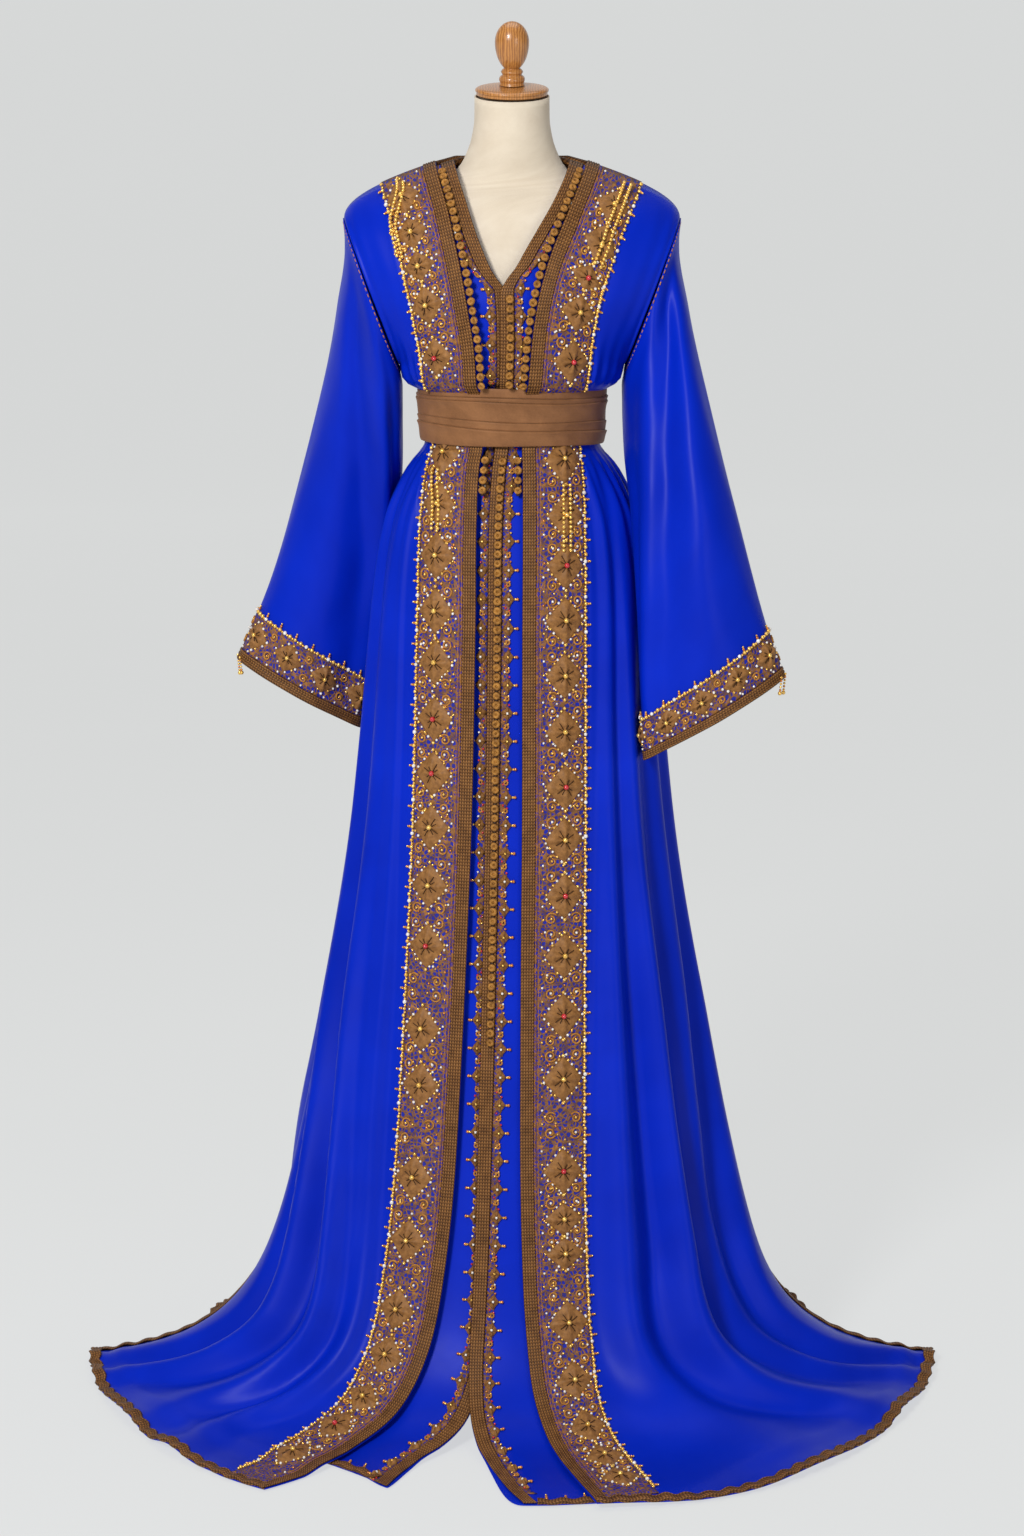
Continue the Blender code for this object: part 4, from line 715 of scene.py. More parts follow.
def cuff_angle(table, around):
    """Angle round the tube at a distance round the cuff, in metres."""
    angles, lengths = cuff_ring(table)
    turns = np.floor(around / lengths[-1])
    return 360.0 * turns + np.interp(around - turns * lengths[-1], lengths, angles)


# --- materials -------------------------------------------------------------------------------------
class Shader:
    """A node material, with short ways to add a node and to join two of them."""

    def __init__(self, name, **values):
        self.material = bpy.data.materials.new(name)
        self.material.use_nodes = True
        self.tree = self.material.node_tree
        self.surface = self.tree.nodes["Principled BSDF"]
        for key, value in values.items():
            self.surface.inputs[key.replace("_", " ")].default_value = value
        self.place = self.add("ShaderNodeTexCoord").outputs["UV"]

    def add(self, kind, settings=(), **inputs):
        node = self.tree.nodes.new(kind)
        for key, value in settings:
            setattr(node, key, value)
        for key, value in inputs.items():
            place = int(key[1:]) if key[1:].isdigit() else key.replace("_", " ")
            socket = node.inputs[place]
            if hasattr(value, "is_output"):
                self.tree.links.new(value, socket)
            else:
                socket.default_value = value
        return node

    def math(self, operation, *values):
        inputs = {"i%d" % k: value for k, value in enumerate(values)}
        return self.add("ShaderNodeMath", (("operation", operation),), **inputs).outputs[0]

    def noise(self, scale, detail=2.0, roughness=0.5, place=None):
        return self.add("ShaderNodeTexNoise", Vector=place or self.place, Scale=scale, Detail=detail,
                        Roughness=roughness).outputs["Fac"]

    def ramp(self, factor, stops):
        node = self.add("ShaderNodeValToRGB", Fac=factor)
        ramp = node.color_ramp
        while len(ramp.elements) < len(stops):
            ramp.elements.new(0.5)
        for element, (position, colour) in zip(ramp.elements, stops):
            element.position = position
            element.color = (*colour, 1.0)
        return node.outputs["Color"]

    def colour(self, output):
        self.tree.links.new(output, self.surface.inputs["Base Color"])

    def rough(self, factor, low, high):
        node = self.add("ShaderNodeMapRange", Value=factor, To_Min=low, To_Max=high)
        self.tree.links.new(node.outputs[0], self.surface.inputs["Roughness"])

    def bump(self, height, strength, distance):
        node = self.add("ShaderNodeBump", Height=height, Strength=strength, Distance=distance)
        self.tree.links.new(node.outputs[0], self.surface.inputs["Normal"])

    def object_place(self):
        return self.add("ShaderNodeTexCoord").outputs["Object"]


def satin():
    """Royal blue satin: a fine twill, slow changes of tone and a soft sheen."""
    made = Shader("blue_satin", Sheen_Weight=0.06, Sheen_Roughness=0.35,
                  Sheen_Tint=(0.02, 0.17, 1.0, 1.0), Specular_IOR_Level=0.09)
    tone = made.noise(7.0, 3.0)
    made.colour(made.ramp(tone, ((0.25, (0.0004, 0.0150, 0.39)), (0.75, (0.0009, 0.0220, 0.52)))))
    twill = made.add("ShaderNodeTexWave", (("bands_direction", "DIAGONAL"),), Vector=made.place,
                     Scale=420.0, Distortion=1.5).outputs["Fac"]
    made.rough(made.noise(30.0, 4.0), 0.34, 0.46)
    made.bump(twill, 0.10, 0.0002)
    return made.material


def chain_height(made, rib, pitch):
    """Heights of rows of V-shaped chain stitches, one row to each rib, and of the ribs alone; the braid also
    uses them to paint shade into its colour, darker in the grooves.
    """
    split = made.add("ShaderNodeSeparateXYZ", Vector=made.place)
    inside = made.math("PINGPONG", split.outputs["X"], rib / 2)
    lean = made.math("MULTIPLY_ADD", inside, 1.3, split.outputs["Y"])
    wave = made.math("SINE", made.math("MULTIPLY", lean, 2 * math.pi / pitch))
    groove = made.math("MINIMUM", made.math("DIVIDE", inside, rib * 0.30), 1.0)
    ribs = made.math("MULTIPLY_ADD", groove, 0.62, 0.38)
    return made.math("MULTIPLY", made.math("MULTIPLY_ADD", wave, 0.5, 0.5), ribs), ribs


def braid():
    """Bronze-brown braid of chain stitches in rows: a random tone, with painted shade in the grooves between
    ribs and stitches and a painted highlight on the stitch tops.
    """
    made = Shader("bronze_braid", Specular_IOR_Level=0.16)
    stitch, ribs = chain_height(made, BRAID_WIDTH / 5, 0.0040)
    # Random tone of the thread, darkened towards the rib grooves as painted shade.
    tone = made.math("MULTIPLY", made.noise(60.0, 4.0, 0.6), ribs)
    stitch_relief_and_shade = made.math("MULTIPLY_ADD", stitch, 0.45, made.math("MULTIPLY", tone, 0.60))
    # The ramp runs from painted shade in the grooves to a painted highlight on the stitch tops; the same
    # values also drive the bump.
    made.colour(made.ramp(stitch_relief_and_shade, ((0.12, (0.026, 0.010, 0.003)), (0.42, (0.130, 0.053, 0.015)),
                                  (0.80, (0.320, 0.145, 0.043)))))
    made.rough(tone, 0.42, 0.62)
    made.bump(stitch_relief_and_shade, 0.65, 0.0008)
    return made.material


def lace():
    """Net of brown and violet cords over the blue satin."""
    made = Shader("net_lace", Roughness=0.62, Specular_IOR_Level=0.25)
    cells = made.add("ShaderNodeTexVoronoi", (("feature", "DISTANCE_TO_EDGE"),), Vector=made.place,
                     Scale=185.0, Randomness=0.85).outputs["Distance"]
    cord = made.add("ShaderNodeMapRange", Value=cells, From_Min=0.07, From_Max=0.20, To_Min=1.0,
                    To_Max=0.0).outputs[0]
    tone = made.noise(95.0, 4.0, 0.65)
    threads = made.ramp(tone, ((0.32, (0.070, 0.030, 0.075)), (0.44, (0.150, 0.065, 0.026)),
                               (0.58, (0.270, 0.115, 0.026)), (0.72, (0.450, 0.185, 0.035))))
    ground = made.ramp(made.noise(120.0, 2.0), ((0.35, (0.003, 0.015, 0.36)),
                                                (0.75, (0.030, 0.020, 0.12))))
    mix = made.add("ShaderNodeMix", (("data_type", "RGBA"),), Factor=cord)
    made.tree.links.new(ground, mix.inputs["A"])
    made.tree.links.new(threads, mix.inputs["B"])
    made.colour(mix.outputs["Result"])
    made.bump(cord, 0.8, 0.0008)
    return made.material


def thread(name, dark, light, pitch=0.0016, weave=0.5):
    """Twisted silk cord or embroidery thread of one colour family."""
    made = Shader(name, Specular_IOR_Level=0.22)
    place = made.object_place()
    tone = made.noise(180.0, 4.0, 0.6, place)
    made.colour(made.ramp(tone, ((0.25, dark), (0.75, light))))
    twist = made.add("ShaderNodeTexWave", (("bands_direction", "DIAGONAL"),), Vector=place,
                     Scale=0.32 / pitch, Distortion=2.0, Detail=2.0).outputs["Fac"]
    made.rough(tone, 0.45, 0.65)
    made.bump(twist, weave, 0.0005)
    return made.material


def bead(name, dark, light, metallic, rough):
    """Glazed or metallic bead, a little uneven in colour and polish."""
    made = Shader(name, Metallic=metallic, Specular_IOR_Level=0.6, Coat_Weight=0.3,
                  Coat_Roughness=0.12)
    tone = made.noise(140.0, 3.0, 0.6, made.object_place())
    made.colour(made.ramp(tone, ((0.30, dark), (0.70, light))))
    made.rough(tone, *rough)
    made.bump(tone, 0.08, 0.0003)
    return made.material


def sash():
    """Brown pleated satin with a suede-like nap."""
    made = Shader("brown_sash", Sheen_Weight=0.18, Sheen_Roughness=0.5,
                  Sheen_Tint=(1.0, 0.62, 0.38, 1.0), Specular_IOR_Level=0.15)
    nap = made.noise(26.0, 6.0, 0.62)
    grain = made.noise(420.0, 3.0, 0.6)
    tone = made.math("MULTIPLY_ADD", grain, 0.25, made.math("MULTIPLY", nap, 0.80))
    made.colour(made.ramp(tone, ((0.30, (0.150, 0.062, 0.024)), (0.75, (0.300, 0.134, 0.054)))))
    made.rough(nap, 0.46, 0.62)
    made.bump(grain, 0.18, 0.0003)
    return made.material


def linen():
    """Cream linen: crossed yarns of uneven thickness."""
    made = Shader("cream_linen", Sheen_Weight=0.1, Specular_IOR_Level=0.2)
    warp = made.add("ShaderNodeTexWave", (("bands_direction", "X"),), Vector=made.place,
                    Scale=260.0, Distortion=2.5, Detail=2.0).outputs["Fac"]
    weft = made.add("ShaderNodeTexWave", (("bands_direction", "Y"),), Vector=made.place,
                    Scale=260.0, Distortion=2.5, Detail=2.0).outputs["Fac"]
    yarn = made.math("MULTIPLY", made.math("ADD", warp, weft), 0.5)
    slub = made.noise(24.0, 5.0, 0.65)
    tone = made.math("MULTIPLY_ADD", yarn, 0.35, made.math("MULTIPLY", slub, 0.65))
    made.colour(made.ramp(tone, ((0.25, (0.60, 0.50, 0.375)), (0.75, (0.76, 0.67, 0.54)))))
    made.rough(slub, 0.78, 0.92)
    made.bump(yarn, 0.22, 0.0004)
    return made.material


def wood():
    """Varnished turned beech, its grain along the piece."""
    made = Shader("turned_beech", Coat_Weight=0.45, Coat_Roughness=0.16, Specular_IOR_Level=0.45)
    place = made.add("ShaderNodeMapping", Vector=made.object_place(),
                     Scale=(1.0, 1.0, 0.16)).outputs[0]
    rings = made.add("ShaderNodeTexWave", (("bands_direction", "X"),), Vector=place, Scale=95.0,
                     Distortion=7.0, Detail=3.0).outputs["Fac"]
    flecks = made.noise(420.0, 3.0, 0.6, place)
    tone = made.math("MULTIPLY_ADD", rings, 0.45, made.math("MULTIPLY", flecks, 0.55))
    made.colour(made.ramp(tone, ((0.20, (0.27, 0.095, 0.020)), (0.80, (0.56, 0.245, 0.062)))))
    made.rough(flecks, 0.28, 0.42)
    made.bump(flecks, 0.10, 0.0003)
    return made.material


def steel():
    """Brushed steel, turned."""
    made = Shader("brushed_steel", Metallic=1.0)
    place = made.add("ShaderNodeMapping", Vector=made.object_place(),
                     Scale=(1.0, 1.0, 14.0)).outputs[0]
    brushed = made.noise(120.0, 5.0, 0.7, place)
    made.colour(made.ramp(brushed, ((0.3, (0.42, 0.42, 0.43)), (0.7, (0.62, 0.62, 0.63)))))
    made.rough(brushed, 0.26, 0.42)
    made.bump(brushed, 0.10, 0.0002)
    return made.material


def paper():
    """Plain pale floor and backdrop."""
    made = Shader("pale_paper", Specular_IOR_Level=0.05, Emission_Strength=0.62,
                  Emission_Color=(0.985, 1.0, 0.995, 1.0))
    tone = made.noise(1.5, 2.0, 0.5, made.object_place())
    made.colour(made.ramp(tone, ((0.2, (0.150, 0.152, 0.151)), (0.8, (0.158, 0.160, 0.159)))))
    made.rough(tone, 0.88, 0.94)
    return made.material


# --- meshes ----------------------------------------------------------------------------------------
def new_object(name, points, faces, material, places=None):
    """A smooth mesh from arrays of points and of faces with one number of corners each.
    Places are the corners' coordinates on the cloth, in metres, for its texture."""
    mesh = bpy.data.meshes.new(name)
    points = np.asarray(points, np.float32)
    faces = np.asarray(faces, np.int32)
    corners = faces.shape[1]
    mesh.vertices.add(len(points))
    mesh.vertices.foreach_set("co", points.ravel())
    mesh.loops.add(faces.size)
    mesh.loops.foreach_set("vertex_index", faces.ravel())
    mesh.polygons.add(len(faces))
    mesh.polygons.foreach_set("loop_start", np.arange(0, faces.size, corners, dtype=np.int32))
    mesh.polygons.foreach_set("use_smooth", np.ones(len(faces), bool))
    mesh.update(calc_edges=True)
    if places is not None:
        layer = mesh.uv_layers.new(name="cloth")
        layer.data.foreach_set("uv", np.asarray(places, np.float32).ravel())
    mesh.materials.append(material)
    obj = bpy.data.objects.new(name, mesh)
    bpy.context.scene.collection.objects.link(obj)
    return obj


def grid_corners(rows, cols, closed):
    """Row and column of each quad's four corners; a closed grid's last column is one past its end."""
    i, j = np.meshgrid(np.arange(rows - 1), np.arange(cols if closed else cols - 1), indexing="ij")
    row = np.stack([i, i, i + 1, i + 1], -1).reshape(-1, 4)
    col = np.stack([j, j + 1, j + 1, j], -1).reshape(-1, 4)
    return row, col


def halves(quads):
    """Two triangles from each quad."""
    return np.concatenate([quads[:, [0, 1, 2]], quads[:, [0, 2, 3]]])


def cloth_places(grid, closed):
    """Coordinates over a grid, in metres: across from its first column and down from its first row."""
    wide = np.concatenate([grid, grid[:, :1]], 1) if closed else grid
    across = np.linalg.norm(np.diff(wide, axis=1), axis=-1)
    down = np.linalg.norm(np.diff(grid, axis=0), axis=-1).mean(axis=1)
    u = np.concatenate([np.zeros((len(grid), 1)), np.cumsum(across, axis=1)], 1)
    v = np.concatenate([[0.0], np.cumsum(down)])
    return np.stack([u, np.broadcast_to(v[:, None], u.shape)], -1)


def sheet(name, grid, wall, material, closed=False, places=None, offset=0.0):
    """An open sheet through a grid of points, thickened by a Solidify modifier."""
    rows, cols = grid.shape[:2]
    row, col = grid_corners(rows, cols, closed)
    faces = row * cols + col % cols
    if places is None:
        places = cloth_places(grid, closed)
    obj = new_object(name, grid.reshape(-1, 3), faces, material, places[row, col].reshape(-1, 2))
    solid = obj.modifiers.new("wall", "SOLIDIFY")
    solid.thickness = wall
    solid.offset = offset
    return obj


def ride(obj, slot, *nodes):
    """Fixes a piece to the body and hides the CAD nodes that it stands for. The slot is not used."""
    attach(obj, "root")
    if nodes:
        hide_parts(*nodes)


class Pile:
    """Many small solids joined into one mesh."""

    def __init__(self):
        self.points = []
        self.faces = []
        self.count = 0

    def add(self, points, faces):
        self.points.append(np.asarray(points, float).reshape(-1, 3))
        self.faces.append(np.asarray(faces, int) + self.count)
        self.count += len(self.points[-1])

    def build(self, name, material):
        return new_object(name, np.concatenate(self.points), np.concatenate(self.faces), material)


def ball(sides, rings):
    """Points and triangles of a unit ball."""
    points = [(0.0, 0.0, 1.0)]
    for i in range(1, rings):
        tilt = math.pi * i / rings
        for j in range(sides):
            turn = 2 * math.pi * j / sides
            points.append((math.sin(tilt) * math.cos(turn), math.sin(tilt) * math.sin(turn),
                           math.cos(tilt)))
    points.append((0.0, 0.0, -1.0))
    faces = [(0, 1 + j, 1 + (j + 1) % sides) for j in range(sides)]
    for i in range(rings - 2):
        for j in range(sides):
            a, b = 1 + i * sides + j, 1 + i * sides + (j + 1) % sides
            faces += [(a, a + sides, b + sides), (a, b + sides, b)]
    last = len(points) - 1
    faces += [(last, last - sides + (j + 1) % sides, last - sides + j) for j in range(sides)]
    return np.array(points), np.array(faces)


BEAD_POINTS, BEAD_FACES = ball(7, 4)
FINE_POINTS, FINE_FACES = ball(12, 7)


def add_beads(pile, centres, radius, fine=False):
    points, faces = (FINE_POINTS, FINE_FACES) if fine else (BEAD_POINTS, BEAD_FACES)
    centres = np.asarray(centres, float).reshape(-1, 3)
    radius = np.broadcast_to(np.asarray(radius, float), (len(centres),))
    every = points[None] * radius[:, None, None] + centres[:, None]
    shift = np.arange(len(centres))[:, None, None] * len(points)
    pile.add(every, (faces[None] + shift).reshape(-1, 3))


class Scatter:
    """Beads to be laid on one surface, all placed together at the end."""

    def __init__(self, at, piles):
        self.at = at
        self.piles = piles
        self.beads = {}

    def bead(self, colour, u, v, height, radius, fine=False):
        self.beads.setdefault((colour, fine), []).append((u, v, height, radius))

    def lay(self):
        for (colour, fine), listed in self.beads.items():
            u, v, height, radius = np.array(listed, float).T
            add_beads(self.piles[colour], self.at(u, v, height), radius, fine)


def add_tube(pile, path, radius, sides=5, up=(0.0, -1.0, 0.0)):
    """A cord along a path, as triangles, with a fan at each end. Radius may change along it."""
    path = np.asarray(path, float)
    radius = np.broadcast_to(np.asarray(radius, float), (len(path),))
    along = unit(np.gradient(path, axis=0))
    side = unit(np.cross(along, np.asarray(up, float)))
    lift = np.cross(side, along)
    turn = np.arange(sides) * 2 * math.pi / sides
    ring = side[:, None] * np.cos(turn)[None, :, None] + lift[:, None] * np.sin(turn)[None, :, None]
    points = path[:, None] + ring * radius[:, None, None]
    row, col = grid_corners(len(path), sides, True)
    quads = row * sides + col % sides
    j = np.arange(sides)
    first, last = len(path) * sides, len(path) * sides + 1
    start = np.stack([np.full(sides, first), (j + 1) % sides, j], -1)
    stop = np.stack([np.full(sides, last), j + (len(path) - 1) * sides,
                     (j + 1) % sides + (len(path) - 1) * sides], -1)
    points = np.concatenate([points.reshape(-1, 3), path[:1], path[-1:]])
    pile.add(points, np.concatenate([halves(quads), start, stop]))


def turned(name, profile, material, steps=64):
    """A turned solid: radius and height down its outer side, on the axis at both ends."""
    radius, height = np.array(profile).T
    turn = np.arange(steps) * 2 * math.pi / steps
    grid = np.stack([radius[:, None] * np.cos(turn), radius[:, None] * np.sin(turn),
                     np.broadcast_to(height[:, None], (len(radius), steps))], -1)
    inner = grid[1:-1]
    row, col = grid_corners(len(inner), steps, True)
    quads = (row * steps + col % steps)[:, ::-1]
    j = np.arange(steps)
    top, foot = len(inner) * steps, len(inner) * steps + 1
    start = np.stack([np.full(steps, top), j, (j + 1) % steps], -1)
    stop = np.stack([np.full(steps, foot), (j + 1) % steps + (len(inner) - 1) * steps,
                     j + (len(inner) - 1) * steps], -1)
    points = np.concatenate([inner.reshape(-1, 3), grid[:1, 0], grid[-1:, 0]])
    return new_object(name, points, np.concatenate([halves(quads), start, stop]), material)


def rounded(profile, steps=5, reach=0.35):
    """A turned profile with each corner rounded by a short curve."""
    points = [np.array(point, float) for point in profile]
    out = [points[0]]
    for before, corner, after in zip(points[:-2], points[1:-1], points[2:]):
        start, stop = corner + (before - corner) * reach, corner + (after - corner) * reach
        for t in np.linspace(0, 1, steps):
            out.append((1 - t) ** 2 * start + 2 * t * (1 - t) * corner + t * t * stop)
    out.append(points[-1])
    return out


# --- cloth pieces ----------------------------------------------------------------------------------
def rows_down(top_rows, floor_rows, hem, first=SHOULDER_FALL):
    """Falls of the rows of a sheet: down to where it meets the floor, then on to its hem."""
    top = np.linspace(first, FLOOR_FALL, top_rows)
    return np.concatenate([top, np.linspace(FLOOR_FALL, hem, floor_rows + 1)[1:]])


def build_fronts(cloth):
    for side in SIGN:
        nominal = rows_down(190, 16, corner_fall(side))
        band = np.linspace(0.0, BAND_SHEET, 8)
        turn, fall = front_places(side, band, np.linspace(0.0, 1.0, 61)[1:], nominal)
        front = sheet("robe_front_%s_cloth" % side, robe(turn, fall, False), WALL, cloth)
        ride(front, "satin", "robe_front_" + side)


def build_robe_back(cloth):
    nominal = rows_down(160, 14, float(hem_fall(0.0)))
    outer = 90.0 - seam_turn(nominal)
    turn = np.linspace(-1.0, 1.0, 75)[None, :] * outer[:, None]
    past = np.clip((nominal - FLOOR_FALL) / (nominal[-1] - FLOOR_FALL), 0, 1)[:, None]
    fall = np.where(past > 0, FLOOR_FALL + (hem_fall(turn) - FLOOR_FALL) * past, nominal[:, None])
    ride(sheet("robe_back_cloth", robe(turn, fall, True), WALL, cloth), "satin", "robe_back")


def build_under(cloth):
    outer = columns(UNDER_SIDE)
    for side in SIGN:
        nominal = np.linspace(SHOULDER_FALL, 1.775, 200)
        places = [under_place(side, across, nominal) for across in np.linspace(0.0, 0.034, 5)]
        band_turn, band_fall = places[-1]
        side_turn = SIGN[side] * smooth(nominal, outer["fall"], outer["turn"])
        for share in np.linspace(0.0, 1.0, 17)[1:]:
            turn = band_turn + (side_turn - band_turn) * share
            fall = band_fall + (np.minimum(nominal, 1.68) - band_fall) * share
            places.append((turn, np.minimum(fall, under_hem_fall(turn))))
        turn = np.array([place[0] for place in places]).T
        fall = np.array([place[1] for place in places]).T
        low = ease((nominal - 1.55) / 0.22)[:, None]
        fall = fall + (under_hem_fall(turn) - fall) * low * ease((nominal[:, None] - 1.62) / 0.155)
        front = sheet("under_front_%s_cloth" % side, under_sheet(side)(turn, fall), WALL, cloth)
        ride(front, "satin", "under_front_" + side)
    nominal = np.linspace(SHOULDER_FALL, UNDER_BACK_HEM, 90)
    reach = smooth(nominal, outer["fall"], outer["turn"])
    turn = np.linspace(-1.0, 1.0, 41)[None, :] * reach[:, None] * 0.985
    back = sheet("under_back_cloth", under(turn, nominal[:, None], True), WALL, cloth)
    ride(back, "satin", "under_back")


def build_sleeves(cloth, stitches):
    share = np.concatenate([np.linspace(0.0, 0.06, 6), np.linspace(0.06, 1.0, 66)[1:]])
    angle = np.arange(84) * 360.0 / 84
    for side, table in SLEEVES.items():
        grid = sleeve(table, angle[None, :], share[:, None])
        tube = sheet("sleeve_%s_cloth" % side, grid, WALL, cloth, closed=True)
        ride(tube, "satin", "sleeve_" + side)
        add_armhole_stitches(stitches, table)


def add_armhole_stitches(stitches, table):
    """A line of stitches round the front of the armhole."""
    count = 34
    for k in range(count):
        first = 8.0 + 150.0 * k / (count - 1)
        ends = np.array([first, first + 1.3, first + 2.6])
        add_tube(stitches, sleeve(table, ends, np.full(3, 0.010), 0.0013), 0.00070, 4)


def belt_point(angle, down, height):
    """Point of the sash: angle round it in degrees, share of its height down, height over it."""
    turn = np.radians(angle)
    face = np.sin(turn)
    z = BELT_TOP + (BELT_FOOT - BELT_TOP) * down
    skirt = columns(SKIRT)
    reach = CLOTH / 2 + GAP + BRAID + GAP + SASH / 2 + 0.0024
    mean = BELT_TOP + (BELT_FOOT - BELT_TOP) * (0.5 + 0.75 * (down - 0.5))
    fall = np.interp(-mean, -skirt["z"], skirt["fall"])
    side = smooth(fall, skirt["fall"], skirt["side"]) + reach + height
    front = smooth(fall, skirt["fall"], skirt["front"]) + reach + height
    back = smooth(fall, skirt["fall"], skirt["back"]) + reach + height
    y = np.where(face > 0, back, front) * face
    z = z - 0.0018 * np.cos(turn) * (1 - face) / 2 + 0.0010 * np.sin(3 * turn + 5 * down)
    return np.stack([side * np.cos(turn), y, z], -1)


# Pleats of the sash: share of its height at the left and at the right of the front, and depth.
PLEATS = ((0.15, 0.19, 0.0030), (0.21, 0.28, 0.0024), (0.53, 0.63, 0.0022), (0.65, 0.80, 0.0036))


def pleat_height(angle, down):
    """The upper layer of each pleat stands out over the one below it."""
    across = (1 + np.cos(np.radians(angle))) / 2
    total = np.zeros_like(down)
    for at_left, at_right, depth in PLEATS:
        wander = 0.014 * np.sin(np.radians(angle * 2 + 300 * depth))
        line = at_left + (at_right - at_left) * across + wander
        past = (down - line) / 0.016
        step = ease(past + 0.5)
        lip = np.exp(-np.maximum(down - line, 0) / 0.085)
        total = total + depth * (step * lip - 0.5 * ease(past + 1.6) * (1 - step))
    return total


def build_belt(cloth):
    angle, down = np.meshgrid(np.arange(96) * 3.75, np.linspace(0.0, 1.0, 110))
    soft = 0.0005 * np.sin(np.radians(angle * 5 + 200 * down)) * np.sin(9 * down + 1)
    rim = -0.0012 * (np.exp(-down / 0.03) + np.exp(-(1 - down) / 0.03))
    height = pleat_height(angle, down) * 0.75 + soft + rim
    band = sheet("sash_cloth", belt_point(angle, down, height), SASH * 0.6, cloth, closed=True)
    ride(band, "sash", "belt")


# --- braids and trims ------------------------------------------------------------------------------
def ribbed(width, ribs, samples=3):
    """Offsets across a braid and the height of its rounded ribs there."""
    share = np.linspace(0.0, 1.0, ribs * samples + 1)
    return share * width, RIB_HEIGHT * np.abs(np.sin(np.pi * ribs * share)) ** 0.6


def trim_places(offsets, along):
    """Texture coordinates over a trim: metres across it and along it."""
    return np.stack(np.broadcast_arrays(offsets[None, :], along[:, None]), -1)


def build_braids(cloth):
    for side in SIGN:
        for name, node, width, at, nominal in (
                ("braid_", "robe_braid_", BRAID_WIDTH, on_band(side), rows_down(290, 14, corner_fall(side))),
                ("inner_braid_", "under_braid_", UNDER_BRAID_WIDTH, on_under(side),
                 np.linspace(SHOULDER_FALL, 1.765, 280))):
            offsets, ribs = ribbed(width - 2 * GAP, 5)
            grid = at(GAP + offsets[None, :], nominal[:, None], BRAID_LIFT + ribs[None, :])
            places = trim_places(offsets, nominal)
            ride(sheet(name + side, grid, TRIM_WALL, cloth, places=places), "braid", node + side)
    build_neck_braids(cloth)


def build_neck_braids(cloth):
    """Braids round the back of the neck, folded over the top edge of each back."""
    for name, node, reach, at in (
            ("neck_braid", "robe_braid_back", 30.0, lambda t, f: robe(t, f, True, folded=False)),
            ("inner_neck_braid", "under_braid_back", 25.0, lambda t, f: under(t, f, True))):
        turn = np.linspace(-reach, reach, 72)
        offsets, ribs = ribbed(0.0160, 5)
        inside = offsets[::-3]
        fall = SHOULDER_FALL + np.concatenate([inside, offsets])
        height = np.concatenate([np.full(len(inside), -0.0018), BRAID_LIFT + ribs])
        grid = raised(at, turn[:, None], fall[None, :], True, height[None, :])
        places = trim_places(np.concatenate([-inside, offsets]), run_along(grid[:, 0]))
        ride(sheet(name, grid, TRIM_WALL, cloth, places=places), "braid", node)


def trim_path(sheet_at, turn, fall, step):
    """Places at even steps along a line of places on a sheet: turn, fall, distance."""
    length = run_along(sheet_at(turn, fall))
    at = np.linspace(0, length[-1], int(length[-1] / step))
    return np.interp(at, length, turn), np.interp(at, length, fall), at


def edge_trim(sheet_at, rear, path, inward, width=HEM_WIDTH, wavy=0.0016):
    """Points and texture coordinates of a rippled braid folded over an edge. The path holds the
    edge's own turns, falls and distances; inward is the side of it that the braid lies on."""
    turn, fall, at = path
    edge = sheet_at(turn, fall)
    normal = sheet_normal(sheet_at, turn, fall, rear)
    into = unit(np.cross(normal, unit(np.gradient(edge, axis=0)))) * inward
    offsets, ribs = ribbed(width, 3)
    phase = 2 * math.pi * at / RIPPLE
    on_floor = ease((fall - 1.52) / 0.10)
    swing = wavy * np.sin(phase + 0.7 * np.sin(phase * 0.31)) * (0.35 + 0.65 * on_floor)
    lift = (0.0012 * np.sin(phase + 1.2) + 0.0012) * on_floor
    turned_under = -0.0030 * (1 - on_floor) + 0.0008 * on_floor
    outside = 0.0018 + ribs[None, :] + lift[:, None]
    height = np.concatenate([np.repeat(turned_under[:, None], 3, axis=1), outside], axis=1)
    offsets = np.concatenate([offsets[3:0:-1], offsets])
    points = edge[:, None] + into[:, None] * (offsets[None, :, None] - 0.0015 + swing[:, None, None])
    return points + normal[:, None] * height[:, :, None], trim_places(offsets, at)


